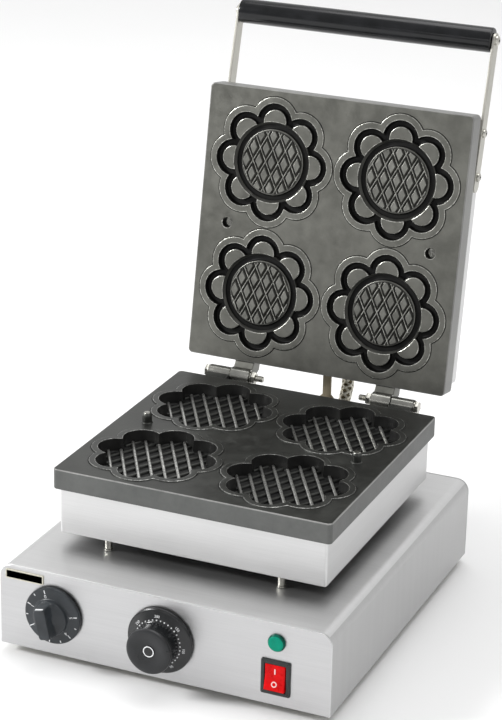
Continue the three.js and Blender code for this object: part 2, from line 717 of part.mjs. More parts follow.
function sideScrew(s, y, reach, headRadius) {
  const seat = coverSide + ARM.thickness + 2 * GAP;
  const z = armHeight(y);
  const [head0, head1] = s > 0 ? [seat, seat + SCREW.headHeight] : [-seat - SCREW.headHeight, -seat];
  const [shank0, shank1] = s > 0 ? [reach, seat + 1] : [-seat - 1, -reach];
  return join(
    rod('x', y, z, headRadius, head0, head1, 14),
    rod('x', y, z, SCREW.shank, shank0, shank1, SMALL_ROUND),
  );
}

function handleGrip() {
  const half = coverSide - 0.2;
  return cut(
    rod('x', ARM.tipY, ARM.tipZ, GRIP.radius, -half, half, 28),
    rod('x', ARM.tipY, ARM.tipZ, GRIP.bore, -half - 1, half + 1, SMALL_ROUND),
  );
}

// ---- assembly -----------------------------------------------------------------------------

const machine = new THREE.Group();
const base = new THREE.Group();
machine.add(base);

addPiece(base, 'base_shell', baseShell(), STAINLESS);
addPiece(base, 'front_panel', frontPanel(), STAINLESS);
addPiece(base, 'rear_panel', rearPanel(), STAINLESS);
addPiece(base, 'bottom_plate', bottomPlate(), ZINC);
for (const { name, x, y } of footPlaces()) {
  addPiece(base, `foot_${name}`, foot(x, y), RUBBER);
  addPiece(base, `foot_screw_${name}`, footScrew(x, y), ZINC);
}
for (const { name, x, y } of postPlaces()) {
  addPiece(base, `post_${name}`, post(x, y), BRASS);
}
addPiece(base, 'name_badge', badge(), HOUSING_PLASTIC);

addPiece(base, 'lower_housing', lowerHousing(), STAINLESS);
addPiece(base, 'lower_plate', lowerPlate(), IRON);
for (const [side, s] of sides) {
  addPiece(base, `guide_pin_${side}`, guidePin(s * PIN.x), IRON);
}
addPiece(base, 'lower_heater', heater(plateBottom - HEATER.offset), HEATER_STEEL);
addPiece(
  base, 'lower_clamp_plate',
  squareSheet(CLAMP.width, plateBottom - CLAMP.far, plateBottom - CLAMP.near), ZINC,
);

for (const [side, s] of sides) {
  addPiece(base, `hinge_bolt_${side}`, hingeBolt(s), ZINC);
  addPiece(base, `hinge_nut_${side}`, hingeNut(s), ZINC);
}
addPiece(base, 'lid_stop', lidStop(), STAINLESS);
addPiece(base, 'conduit_lower_gland', lowerGland(), ZINC);
addPiece(base, 'braided_conduit', braidedConduit(), ZINC);

addPiece(base, 'timer_body', controlBody(TIMER, TIMER_BODY), HOUSING_PLASTIC);
addPiece(base, 'thermostat_body', controlBody(THERMOSTAT, THERMOSTAT_BODY), CERAMIC);
addPiece(base, 'thermostat_bulb', capillary(), BRASS);
addPiece(base, 'switch_body', switchBody(), HOUSING_PLASTIC);
addPiece(base, 'rocker', rocker(), RED_PLASTIC);
addPiece(base, 'lamp_lens', lampLens(), LENS_GREEN);
addPiece(base, 'lamp_body', lampBody(), HOUSING_PLASTIC);
addPiece(base, 'timer_shaft', knobShaft(TIMER, SHAFT.reach), ZINC);
const timerKnobMesh = addPiece(base, 'timer_knob', timerKnob(), KNOB_PLASTIC);
timerKnobMesh.position.set(TIMER.x, 0, TIMER.z);
timerKnobMesh.rotation.y = TIMER.turn;
addPiece(base, 'thermostat_shaft', knobShaft(THERMOSTAT, SHAFT.reach), ZINC);
addPiece(base, 'thermostat_knob', thermostatKnob(), KNOB_PLASTIC);
addPiece(base, 'terminal_block', terminalBlock(), CERAMIC);
addPiece(base, 'cable_gland', cableGland(), HOUSING_PLASTIC);

// The lid is drawn shut and turned open about the hinge axis.
const lidHinge = new THREE.Group();
lidHinge.position.set(0, HINGE.y, HINGE.z);
lidHinge.rotation.x = -OPEN_ANGLE;
machine.add(lidHinge);
const lid = new THREE.Group();
lid.position.set(0, -HINGE.y, -HINGE.z);
lidHinge.add(lid);

addPiece(lid, 'lid_plate', lidPlate(), LID_IRON);
addPiece(lid, 'lid_cover', lidCover(), STAINLESS);
addPiece(lid, 'lid_heater', heater(lidBack + HEATER.offset), HEATER_STEEL);
addPiece(
  lid, 'lid_clamp_plate',
  squareSheet(CLAMP.width, lidBack + CLAMP.near, lidBack + CLAMP.far), ZINC,
);
addPiece(
  lid, 'lid_insulation',
  squareSheet(INSULATION.width, lidBack + INSULATION.near, lidBack + INSULATION.far), WOOL,
);
for (const [side, s] of sides) {
  addPiece(lid, `handle_arm_${side}`, handleArm(s), STAINLESS);
  for (const [place, y] of [['front', ARM_SCREWS.y[0]], ['back', ARM_SCREWS.y[1]]]) {
    addPiece(lid, `arm_screw_${place}_${side}`, sideScrew(s, y, ARM_SCREWS.reach, SCREW.head), ZINC);
  }
  addPiece(lid, `grip_screw_${side}`, sideScrew(s, ARM.tipY, coverSide - GAP, GRIP.screwHead), ZINC);
}
addPiece(lid, 'handle_grip', handleGrip(), GRIP_PLASTIC);
addPiece(
  lid, 'handle_rod',
  rod('x', ARM.tipY, ARM.tipZ, GRIP.rod, -coverSide + 0.8, coverSide - 0.8, SMALL_ROUND), ZINC,
);
addPiece(lid, 'conduit_upper_gland', upperGland(), ZINC);

machine.updateMatrixWorld(true);
const bounds = new THREE.Box3().setFromObject(machine, true);
const centre = bounds.getCenter(new THREE.Vector3());
machine.position.set(-centre.x, -centre.y, -bounds.min.z);
machine.updateMatrixWorld(true);

export default machine;
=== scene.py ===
"""Looks of a countertop flower waffle maker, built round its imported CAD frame.

Shapes are drawn in millimetres in the part's own frame (+Z up, the control panel faces -Y) and
become metres when a piece is made. The lid is drawn shut and turned open about its hinge.
"""
import json
import math

import bmesh
import bpy
from mathutils import Matrix, Vector


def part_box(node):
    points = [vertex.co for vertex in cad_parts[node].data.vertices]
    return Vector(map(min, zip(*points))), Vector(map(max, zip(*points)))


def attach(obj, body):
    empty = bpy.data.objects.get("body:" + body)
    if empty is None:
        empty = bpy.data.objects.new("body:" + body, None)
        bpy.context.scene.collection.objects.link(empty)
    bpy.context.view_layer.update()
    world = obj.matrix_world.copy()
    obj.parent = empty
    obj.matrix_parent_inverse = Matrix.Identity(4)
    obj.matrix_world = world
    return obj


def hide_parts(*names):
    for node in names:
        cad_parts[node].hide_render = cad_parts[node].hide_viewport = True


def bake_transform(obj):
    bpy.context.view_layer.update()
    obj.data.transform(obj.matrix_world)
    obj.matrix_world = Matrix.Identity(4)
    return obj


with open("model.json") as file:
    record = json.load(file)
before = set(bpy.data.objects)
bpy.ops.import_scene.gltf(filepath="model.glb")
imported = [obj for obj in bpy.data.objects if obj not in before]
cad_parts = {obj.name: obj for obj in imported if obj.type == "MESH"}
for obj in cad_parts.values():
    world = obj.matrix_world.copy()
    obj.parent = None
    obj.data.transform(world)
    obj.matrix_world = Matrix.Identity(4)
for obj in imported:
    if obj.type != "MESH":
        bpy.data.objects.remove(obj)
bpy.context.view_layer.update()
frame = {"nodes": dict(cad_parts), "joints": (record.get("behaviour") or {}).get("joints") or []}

# ---- dimensions from the frame, in millimetres ----------------------------------------------


def low(node):
    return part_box(node)[0] * 1000


def high(node):
    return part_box(node)[1] * 1000


def middle(node):
    return (low(node) + high(node)) / 2


FRONT = low("front_panel").y
BACK = high("rear_panel").y
BASE_HALF = high("front_panel").x
BASE_TOP = high("front_panel").z
BASE_BOTTOM = low("front_panel").z
BASE_BEND = 11
SHEET = 1.5
GAP = 0.3

JOINTS = {joint["name"]: joint for joint in frame["joints"]}
hinge = JOINTS["lid_hinge"]
HINGE_Y = hinge["pos_m"][1] * 1000
HINGE_Z = hinge["pos_m"][2] * 1000
OPEN_ANGLE = math.radians(hinge["range_deg"][1])
KNUCKLE = 6.5
LID_LUG = (59, 77.5)
BASE_LUG = (77.8, 98.9)

PLATE_HALF = high("lower_plate").x
PLATE_FRONT = low("lower_plate").y
PLATE_BACK = PLATE_FRONT + 2 * PLATE_HALF
PLATE_Y = PLATE_FRONT + PLATE_HALF
PLATE_TOP = HINGE_Z + 0.5
LOWER_THICKNESS = 18
UPPER_THICKNESS = 20
SHUT_GAP = 2
PLATE_BOTTOM = PLATE_TOP - LOWER_THICKNESS
PLATE_CORNER = 4
LID_FACE = PLATE_TOP + SHUT_GAP
LID_BACK = LID_FACE + UPPER_THICKNESS
TRAY_HALF = high("lower_housing").x
TRAY_CORNER = 2.2
TRAY_BOTTOM = low("lower_housing").z
COVER_DEPTH = 25
COVER_TOP = LID_BACK + GAP + COVER_DEPTH
COVER_MIDDLE = LID_BACK + COVER_DEPTH / 2

LOBES = 8
LOBE_CENTRE = 36.5
LOBE = 16.5
PETAL = 10.8
RING = (29.5, 36)
LAND = 5.9
LAND_HEIGHT = 0.8
CAVITY = 11.5
GROOVE = 5
DISC_RECESS = 2.6
DISC_LIMIT = RING[0] - 1.6
PITCH = 119
FLOWERS = [(sx * PITCH / 2, PLATE_Y + sy * PITCH / 2) for sx in (-1, 1) for sy in (-1, 1)]
PIN_X = middle("guide_pin_right").x
RIB_ANGLE = math.radians(60)
RIB_REACH = 60
RIB_STEP = 0.5
SHORTEST_RIB = 2
PAD_ANGLE = math.radians(63)
PAD_PITCH = 12.1

BOLT_TIP = 46.5
THREAD_END = 60
HEXAGON = 9.8
NUT_LENGTH = 5
CONDUIT_RADIUS = 5.9
CONDUIT_TOP_X = 22
GLAND_LENGTH = 9.6
ARM_TIP = Vector((FRONT - 14, 197.7))
ARM_ROOT = Vector((FRONT + 112.5, 185.8))
ARM_SCREWS = (66.8, 105.1)
ARM_HALF_WIDTH = 6.5
ARM_THICKNESS = 2.5
GRIP_RADIUS = 11

SIDES = (("left", -1), ("right", 1))
OPEN = (Matrix.Translation((0, HINGE_Y, HINGE_Z)) @ Matrix.Rotation(-OPEN_ANGLE, 4, "X")
        @ Matrix.Translation((0, -HINGE_Y, -HINGE_Z)))
SHUT = Matrix.Identity(4)


# ---- camera ---------------------------------------------------------------------------------

CAMERA = {"yaw": 23.05, "pitch": 21.22, "roll": 1.291, "distance": 1930.6, "lens": 120.2}
CAMERA_TARGET = Vector((30.24, FRONT + 100, BASE_BOTTOM + 247.15))


def add_camera():
    yaw, pitch, roll = (math.radians(CAMERA[k]) for k in ("yaw", "pitch", "roll"))
    ahead = Vector((-math.sin(yaw) * math.cos(pitch), math.cos(yaw) * math.cos(pitch), -math.sin(pitch)))
    right = Vector((math.cos(yaw), math.sin(yaw), 0))
    up = right.cross(ahead)
    rolled_right = math.cos(roll) * right + math.sin(roll) * up
    rolled_up = math.cos(roll) * up - math.sin(roll) * right
    data = bpy.data.cameras.new("camera")
    data.lens = CAMERA["lens"]
    data.sensor_width = 36
    data.clip_end = 50
    camera = bpy.data.objects.new("camera", data)
    turn = Matrix((rolled_right, rolled_up, -ahead)).transposed().to_4x4()
    place = (CAMERA_TARGET - ahead * CAMERA["distance"]) / 1000
    camera.matrix_world = Matrix.Translation(place) @ turn
    bpy.context.scene.collection.objects.link(camera)
    bpy.context.scene.camera = camera


add_camera()

# ---- outlines -------------------------------------------------------------------------------


def arc(u, v, radius, start, end, steps):
    """Points of an arc in degrees, both ends included."""
    angles = [math.radians(start + (end - start) * i / steps) for i in range(steps + 1)]
    return [(u + radius * math.cos(a), v + radius * math.sin(a)) for a in angles]


def circle(u, v, radius, count=48):
    return arc(u, v, radius, 0, 360, count)[:-1]


def rounded_rectangle(u, v, width, height, radius, steps=6):
    w, h, r = width / 2, height / 2, radius
    return (arc(u + w - r, v - h + r, r, -90, 0, steps) + arc(u + w - r, v + h - r, r, 0, 90, steps)
            + arc(u - w + r, v + h - r, r, 90, 180, steps) + arc(u - w + r, v - h + r, r, 180, 270, steps))


def hexagon(u, v, across_flats):
    return circle(u, v, across_flats / math.sqrt(3), 6)


def flower(u, v, lobe, steps=14):
    """Eight-lobed outline: arcs round the ends of eight spokes, with steps points on each."""
    half = math.pi / LOBES
    sweep = half + math.pi / 2 - math.acos(LOBE_CENTRE * math.sin(half) / lobe)
    points = []
    for i in range(LOBES):
        spoke = 2 * half * i
        cu, cv = u + LOBE_CENTRE * math.cos(spoke), v + LOBE_CENTRE * math.sin(spoke)
        for k in range(steps):
            a = spoke - sweep + 2 * sweep * k / steps
            points.append((cu + lobe * math.cos(a), cv + lobe * math.sin(a)))
    return points


def petal(u, v, spoke, inset, steps=14):
    """Outline of one petal island: an arc of its own circle, closed by the ring groove's edge."""
    radius, ring = PETAL - inset, RING[1] + inset
    reach = (LOBE_CENTRE ** 2 + ring ** 2 - radius ** 2) / (2 * LOBE_CENTRE * ring)
    half = math.acos(min(1, reach))
    corner = (ring * math.cos(half) - LOBE_CENTRE, ring * math.sin(half))
    sweep = math.atan2(corner[1], corner[0])
    local = [(LOBE_CENTRE + radius * math.cos(a), radius * math.sin(a))
             for a in (-sweep + 2 * sweep * k / steps for k in range(steps + 1))]
    local += [(ring * math.cos(a), ring * math.sin(a))
              for a in (half - 2 * half * k / steps for k in range(1, steps))]
    c, s = math.cos(spoke), math.sin(spoke)
    return [(u + c * x - s * y, v + s * x + c * y) for x, y in local]


def inset(outline, distance):
    """Moves each side of a counter-clockwise outline inwards."""
    points = [Vector(p) for p in outline]
    moved = []
    for i, p in enumerate(points):
        before = (p - points[i - 1]).normalized()
        after = (points[(i + 1) % len(points)] - p).normalized()
        normal = Vector((before.y + after.y, -before.x - after.x)).normalized()
        share = max(0.3, normal.dot(Vector((before.y, -before.x))))
        moved.append(tuple(p - normal * distance / share))
    return moved


def level(outline, z):
    return [(x, y, z) for x, y in outline]


def polar_ring(radius_at, height, count):
    """Ring of points round the local z, with its radius given by the angle."""
    angles = [2 * math.pi * k / count for k in range(count)]
    return [(radius_at(a) * math.cos(a), radius_at(a) * math.sin(a), height) for a in angles]


def round_edge(size, steps=3):
    """(inset, depth) pairs of a rounded edge, from the flat face to the side wall."""
    angles = [math.pi / 2 * i / steps for i in range(steps + 1)]
    return [(size * (1 - math.sin(a)), size * (1 - math.cos(a))) for a in angles]


# ---- pieces ---------------------------------------------------------------------------------

SHARP_ANGLE = 32
AXES = {
    # local x, y, z run along the part's x, z, -y: a profile's height is its reach to the front
    "front": Matrix(((1, 0, 0, 0), (0, 0, -1, 0), (0, 1, 0, 0), (0, 0, 0, 1))),
    # local x, y, z run along the part's x, z, y: a profile's height is its reach to the back
    "back": Matrix(((1, 0, 0, 0), (0, 0, 1, 0), (0, 1, 0, 0), (0, 0, 0, 1))),
    # local x, y, z run along the part's y, z, x
    "x": Matrix(((0, 0, 1, 0), (1, 0, 0, 0), (0, 1, 0, 0), (0, 0, 0, 1))),
}


class Shape:
    """Closed shells in millimetres that become one piece."""

    def __init__(self):
        self.mesh = bmesh.new()

    def add_ring(self, points, place=SHUT):
        return [self.mesh.verts.new(place @ Vector(p)) for p in points]

    def add_face(self, verts, material=0):
        face = self.mesh.faces.new(verts)
        face.material_index = material
        face.smooth = True

    def bridge(self, first, second, material=0):
        for i in range(max(len(first), len(second))):
            a, b = first[i % len(first)], first[(i + 1) % len(first)]
            c, d = second[(i + 1) % len(second)], second[i % len(second)]
            corners = [p for k, p in enumerate((a, b, c, d)) if p not in (a, b, c, d)[:k]]
            self.add_face(corners, material)

    def loft(self, rings, place=SHUT, materials=0, start=True, end=True):
        """Skin through rings of (x, y, z) points; materials is one index or one for each band."""
        loops = [self.add_ring(ring, place) for ring in rings]
        for i, (one, two) in enumerate(zip(loops, loops[1:])):
            self.bridge(one, two, materials if isinstance(materials, int) else materials[i])
        first, last = (materials,) * 2 if isinstance(materials, int) else (materials[0], materials[-1])
        if start and len(loops[0]) > 1:
            self.add_face(loops[0], first)
        if end and len(loops[-1]) > 1:
            self.add_face(loops[-1], last)
        return loops

    def stack(self, levels, place=SHUT, materials=0, start=True, end=True):
        """Skin through (outline, height) levels."""
        return self.loft([level(outline, z) for outline, z in levels], place, materials, start, end)

    def prism(self, outline, low_end, high_end, place=SHUT, edge=0.4, steps=2, materials=0):
        """Outline extruded along its local z, with rounded edges at both ends."""
        rounding = round_edge(edge, steps)
        rings = [(inset(outline, i), low_end + d) for i, d in rounding]
        rings += [(inset(outline, i), high_end - d) for i, d in reversed(rounding)]
        return self.stack(rings, place, materials)

    def turn(self, profile, place=SHUT, count=48, materials=0, closed=False):
        """Turned piece from (radius, height) points, solid or closed on itself."""
        rings = [level(circle(0, 0, r, count) if r else [(0, 0)], h) for r, h in profile]
        loops = self.loft(rings, place, materials, start=not closed, end=not closed)
        if closed:
            last = materials if isinstance(materials, int) else materials[-1]
            self.bridge(loops[-1], loops[0], last)
        return loops

    def fill(self, loops, material=0):
        """Flat face between an outer loop and the loops inside it."""
        edges = []
        for loop in loops:
            for i, vert in enumerate(loop):
                pair = (vert, loop[(i + 1) % len(loop)])
                edges.append(self.mesh.edges.get(pair) or self.mesh.edges.new(pair))
        made = bmesh.ops.triangle_fill(self.mesh, edges=edges, use_beauty=True)
        for item in made["geom"]:
            if isinstance(item, bmesh.types.BMFace):
                item.material_index = material
                item.smooth = True

    def make_object(self, name, materials, place=SHUT, side_material=0):
        """The object, in metres; its faces across X can have their own material."""
        self.mesh.transform(Matrix.Scale(0.001, 4) @ place)
        bmesh.ops.recalc_face_normals(self.mesh, faces=self.mesh.faces)
        for face in self.mesh.faces:
            if side_material and face.material_index == 0 and abs(face.normal.x) > 0.7:
                face.material_index = side_material
        data = bpy.data.meshes.new(name)
        self.mesh.to_mesh(data)
        self.mesh.free()
        for material in materials if isinstance(materials, tuple) else (materials,):
            data.materials.append(material)
        made = bpy.data.objects.new(name, data)
        bpy.context.scene.collection.objects.link(made)
        return made

    def piece(self, name, body, slot, materials, replaces=(), place=SHUT, side_material=0):
        """Makes the object as one visible piece that rides on a CAD body."""
        piece = self.make_object(name, materials, place, side_material)
        piece.data.set_sharp_from_angle(angle=math.radians(SHARP_ANGLE))
        weighted = piece.modifiers.new("weighted", "WEIGHTED_NORMAL")
        weighted.keep_sharp = True
        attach(piece, body)
        if replaces:
            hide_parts(*replaces)


def facing_front(x, z, turn=0):
    """Place of a piece drawn facing the front, on the panel's face at (x, z)."""
    return Matrix.Translation((x, FRONT, z)) @ AXES["front"] @ Matrix.Rotation(turn, 4, "Z")


def along_x(side, y, z):
    """Place whose local z points outwards along X on one side, at the height of (y, z)."""
    return Matrix.Translation((0, y, z)) @ Matrix.Rotation(side * math.pi / 2, 4, "Y")


# ---- materials ------------------------------------------------------------------------------


class Look:
    """One procedural material on a Principled shader; positions are the part's own, in metres."""

    def __init__(self, name, roughness=0.5, metallic=0.0, **sockets):
        self.material = bpy.data.materials.new(name)
        self.material.use_nodes = True
        self.tree = self.material.node_tree
        self.shader = self.tree.nodes["Principled BSDF"]
        self.shader.inputs["Roughness"].default_value = roughness
        self.shader.inputs["Metallic"].default_value = metallic
        for socket, value in sockets.items():
            self.shader.inputs[socket.replace("_", " ")].default_value = value
        self.place = self.add("ShaderNodeTexCoord").outputs["Object"]

    def add(self, kind, **values):
        node = self.tree.nodes.new(kind)
        for key, value in values.items():
            if key in node.inputs:
                node.inputs[key].default_value = value
            else:
                setattr(node, key, value)
        return node

    def link(self, source, target):
        self.tree.links.new(source, target)

    def noise(self, scale, stretch=(1, 1, 1), detail=4.0, roughness=0.55):
        mapping = self.add("ShaderNodeMapping", Scale=stretch)
        self.link(self.place, mapping.inputs["Vector"])
        node = self.add("ShaderNodeTexNoise", Scale=scale, Detail=detail, Roughness=roughness)
        self.link(mapping.outputs["Vector"], node.inputs["Vector"])
        return node.outputs["Fac"]

    def spread(self, value, from_low, from_high, to_low=0.0, to_high=1.0):
        node = self.add("ShaderNodeMapRange")
        for key, number in zip(("From Min", "From Max", "To Min", "To Max"),
                               (from_low, from_high, to_low, to_high)):
            node.inputs[key].default_value = number
        self.link(value, node.inputs["Value"])
        return node.outputs["Result"]

    def mix(self, factor, one, two):
        node = self.add("ShaderNodeMix", data_type="RGBA")
        self.link(factor, node.inputs["Factor"])
        sockets = [s for s in node.inputs if s.type == "RGBA"]
        for colour, socket in zip((one, two), sockets):
            socket.default_value = (*colour, 1)
        return next(s for s in node.outputs if s.type == "RGBA")

    def maths(self, operation, one, two):
        node = self.add("ShaderNodeMath", operation=operation)
        for value, socket in zip((one, two), node.inputs):
            if isinstance(value, (int, float)):
                socket.default_value = value
            else:
                self.link(value, socket)
        return node.outputs["Value"]

    def blend(self, one, two, share):
        """Sum of two values, the first with this share."""
        return self.maths("ADD", self.maths("MULTIPLY", one, share), self.maths("MULTIPLY", two, 1 - share))

    def colour(self, value):
        self.link(value, self.shader.inputs["Base Color"])

    def rough(self, value):
        self.link(value, self.shader.inputs["Roughness"])

    def bump(self, *layers):
        """Stacks (height, strength, distance in millimetres) layers."""
        normal = None
        for height, strength, distance in layers:
            node = self.add("ShaderNodeBump", Strength=strength, Distance=distance / 1000)
            self.link(height, node.inputs["Height"])
            if normal is not None:
                self.link(normal, node.inputs["Normal"])
            normal = node.outputs["Normal"]
        self.link(normal, self.shader.inputs["Normal"])


def grey(value):
    return (value, value, value)


def brushed_steel(name, stretch, light, dark, roughness):
    """Stainless sheet with fine brush lines; stretch is short along the lines."""
    look = Look(name, metallic=1.0)
    lines = look.noise(1100, stretch, detail=5.0, roughness=0.7)
    bands = look.noise(130, stretch, detail=3.0)
    smudges = look.noise(9, detail=3.0)
    tone = look.blend(lines, bands, 0.75)
    look.colour(look.mix(look.spread(tone, 0.3, 0.7), dark, light))
    streaks = look.spread(lines, 0.3, 0.7, *roughness)
    look.rough(look.maths("ADD", streaks, look.spread(smudges, 0.3, 0.7, -0.03, 0.05)))
    look.bump((lines, 0.15, 0.01), (bands, 0.04, 0.02))
    return look.material


def cast_iron(name, dark, light, roughness, grain=0.06, metallic=0.75, shine=0.5):
    """Fine cast surface with mottling, tiny pits and a soft sheen."""
    look = Look(name, metallic=metallic, Specular_IOR_Level=shine)
    fine = look.noise(1500, detail=4.0)
    mottle = look.noise(70, detail=6.0, roughness=0.65)
    clouds = look.noise(14, detail=3.0)
    tone = look.blend(mottle, clouds, 0.6)
    look.colour(look.mix(look.spread(tone, 0.38, 0.62), dark, light))
    look.rough(look.spread(mottle, 0.3, 0.7, roughness - 0.07, roughness + 0.09))
    casting = look.noise(260, detail=5.0, roughness=0.7)
    look.bump((fine, 0.35, grain), (casting, 0.5, 0.18), (mottle, 0.2, 0.15))
    return look.material


def worn_edge(name, dark, bright):
    """Iron edge rubbed bright in patches; its light tone is also a painted edge highlight."""
    look = Look(name, metallic=0.9)
    patches = look.noise(380, detail=4.0, roughness=0.7)
    fine = look.noise(1500, detail=3.0)
    look.colour(look.mix(look.spread(patches, 0.42, 0.62), dark, bright))
    look.rough(look.spread(patches, 0.4, 0.65, 0.4, 0.24))
    look.bump((fine, 0.4, 0.06), (patches, 0.4, 0.15))
    return look.material


def machined(name, tone):
    """Turned or milled bare metal with fine tool marks round X."""
    look = Look(name, metallic=1.0)
    marks = look.noise(900, (1, 0.08, 0.08), detail=3.0)
    stain = look.noise(120, detail=4.0)
    dark = tuple(0.55 * c for c in tone)
    look.colour(look.mix(look.spread(stain, 0.35, 0.7), tone, dark))
    look.rough(look.spread(marks, 0.3, 0.7, 0.2, 0.38))
    look.bump((marks, 0.3, 0.03))
    return look.material


def plastic(name, dark, light, roughness, grain, shine=0.35):
    """Moulded plastic with a fine spark-eroded grain and faint flow clouds."""
    look = Look(name, Specular_IOR_Level=shine)
    fine = look.noise(2600, detail=2.0)
    clouds = look.noise(55, detail=3.0)
    look.colour(look.mix(look.spread(clouds, 0.35, 0.65), dark, light))
    look.rough(look.spread(clouds, 0.3, 0.7, roughness - 0.05, roughness + 0.07))
    look.bump((fine, 0.3, grain))
    return look.material


def rubber(name):
    look = Look(name, roughness=0.8)
    fine = look.noise(1800, detail=3.0)
    dust = look.noise(60, detail=5.0)
    look.colour(look.mix(look.spread(dust, 0.45, 0.75), (0.012, 0.012, 0.012), (0.06, 0.058, 0.055)))
    look.rough(look.spread(fine, 0.3, 0.7, 0.7, 0.9))
    look.bump((fine, 0.4, 0.04))
    return look.material


def paint(name, colour):
    """Slightly worn printed mark."""
    look = Look(name)
    wear = look.noise(900, detail=4.0)
    worn = tuple(0.75 * c for c in colour)
    look.colour(look.mix(look.spread(wear, 0.35, 0.7), colour, worn))
    look.rough(look.spread(wear, 0.3, 0.7, 0.4, 0.6))
    return look.material


def tinted(name, dark, light, roughness):
    """Coloured translucent plastic with depth in its tone."""
    look = Look(name, Specular_IOR_Level=0.12, Subsurface_Weight=0.05, Subsurface_Scale=0.002)
    clouds = look.noise(160, detail=3.0)
    fine = look.noise(1400, detail=2.0)
    look.colour(look.mix(look.spread(clouds, 0.35, 0.65), dark, light))
    look.rough(look.spread(clouds, 0.3, 0.7, roughness, roughness + 0.08))
    look.bump((fine, 0.15, 0.01))
    return look.material


def mineral(name, dark, light, scale=500):
    """Ceramic, fibre board or an oxidised sheath: a dry, mottled surface."""
    look = Look(name)
    fine = look.noise(scale, detail=6.0, roughness=0.7)
    look.colour(look.mix(look.spread(fine, 0.35, 0.65), dark, light))
    look.rough(look.spread(fine, 0.3, 0.7, 0.6, 0.9))
    look.bump((fine, 0.5, 0.1))
    return look.material


def braid_metal(name, light, dark):
    """Woven wire of a sheathed lead."""
    look = Look(name, metallic=1.0)
    strands = look.noise(700, detail=3.0)
    dirt = look.noise(150, detail=4.0)
    look.colour(look.mix(look.spread(dirt, 0.4, 0.65), light, dark))
    look.rough(look.spread(strands, 0.3, 0.7, 0.25, 0.45))
    look.bump((strands, 0.4, 0.1))
    return look.material


# Stretches that draw brush lines along X, along Y and along Z.
ALONG_X, ALONG_Y, ALONG_Z = (0.02, 1, 1), (1, 0.02, 1), (1, 1, 0.02)
TRAY_TONES = (grey(0.66), grey(0.58), (0.32, 0.44))

# One stainless finish in three tones: the base sheet's top lighter than the front panel (painted light) and
# its sides darker (painted shade).
STEEL_FRONT = brushed_steel("steel_front", ALONG_X, (0.56, 0.56, 0.565), (0.49, 0.49, 0.495), (0.3, 0.42))
STEEL_TOP_LIT = brushed_steel("steel_top_lit", ALONG_X, grey(0.66), grey(0.57), (0.36, 0.48))
STEEL_SIDE_SHADED = brushed_steel("steel_side_shaded", ALONG_Z, grey(0.52), grey(0.45), (0.34, 0.46))
STEEL_TRAY = brushed_steel("steel_tray", ALONG_X, *TRAY_TONES)
TRAY_SIDE = brushed_steel("tray_side", ALONG_Y, *TRAY_TONES)
COVER_SIDE = brushed_steel("cover_side", ALONG_Z, *TRAY_TONES)
# Dark steel for the lower housing's underside: painted shade under the housing.
STEEL_UNDER_SHADE = brushed_steel("steel_under_shade", ALONG_X, grey(0.14), grey(0.1), (0.5, 0.6))
STEEL_ARM = brushed_steel("steel_arm", (1, 0.05, 0.05), (0.56, 0.55, 0.5), (0.44, 0.43, 0.39), (0.3, 0.42))
STOP_STEEL = brushed_steel("steel_stop", (1, 1, 0.05), (0.5, 0.44, 0.33), (0.34, 0.29, 0.2), (0.3, 0.42))
# Bright steel of cut sheet edges and tray rims; on the front panel's rounded front edge it is a painted
# highlight line.
EDGE_STEEL_AND_HIGHLIGHT = brushed_steel("cut_edge_and_highlight", (0.1, 1, 1), grey(0.78), grey(0.66), (0.25, 0.35))
ZINC = machined("zinc_plate", (0.6, 0.59, 0.54))
NICKEL = machined("nickel_plate", (0.66, 0.63, 0.56))
BRASS = machined("brass", (0.62, 0.46, 0.22))
BRAID = braid_metal("braid", (0.62, 0.6, 0.52), (0.4, 0.38, 0.3))
# Dark tone for the valleys between the braid's strands: painted shade.
BRAID_GAP_SHADE = braid_metal("braid_gap_shade", (0.12, 0.1, 0.06), (0.05, 0.045, 0.03))

LOWER_IRON = cast_iron("lower_iron", (0.045, 0.046, 0.043), (0.075, 0.077, 0.072), 0.36, metallic=0.85)
# Lower plate's land and fillet edges: worn patches and a painted edge highlight.
LOWER_EDGE_HIGHLIGHT = worn_edge("lower_iron_worn_highlight", (0.1, 0.1, 0.098), (0.5, 0.5, 0.48))
# Rounded edge between the lower plate's face and sides, in lighter iron: a painted edge highlight.
LOWER_RIM_HIGHLIGHT = cast_iron("lower_iron_rim_highlight", (0.22, 0.22, 0.215), (0.32, 0.32, 0.31), 0.34)
LOWER_SIDE = cast_iron("lower_iron_side", (0.1, 0.103, 0.1), (0.135, 0.138, 0.134), 0.42)
# Near-black iron for the lower cavities' walls and floors and the ribs' flanks: painted shade in the
# recesses.
LOWER_FLOOR_SHADE = cast_iron("lower_iron_floor_shade", grey(0.009), (0.02, 0.02, 0.019), 0.42, metallic=0.3, shine=0.3)
# Crests of the lower plate's second rib family: a painted highlight, so that family looks lit and the first
# one does not.
RIB_CREST_HIGHLIGHT = worn_edge("lower_rib_crest_highlight", (0.3, 0.3, 0.29), (0.72, 0.72, 0.69))
LID_IRON = cast_iron("lid_iron", (0.125, 0.125, 0.112), (0.17, 0.17, 0.153), 0.36, metallic=0.85)
# Lid plate's land edges, crowns and rib crests: worn patches and a painted edge highlight.
LID_EDGE_HIGHLIGHT = worn_edge("lid_iron_worn_highlight", (0.2, 0.2, 0.18), (0.6, 0.6, 0.56))
# Near-black iron for the lid's grooves, island feet, pad pits and pin-hole walls, and for screw recesses:
# painted shade.
LID_GROOVE_SHADE = cast_iron("lid_iron_groove_shade", grey(0.004), (0.009, 0.009, 0.008), 0.5, metallic=0, shine=0.15)
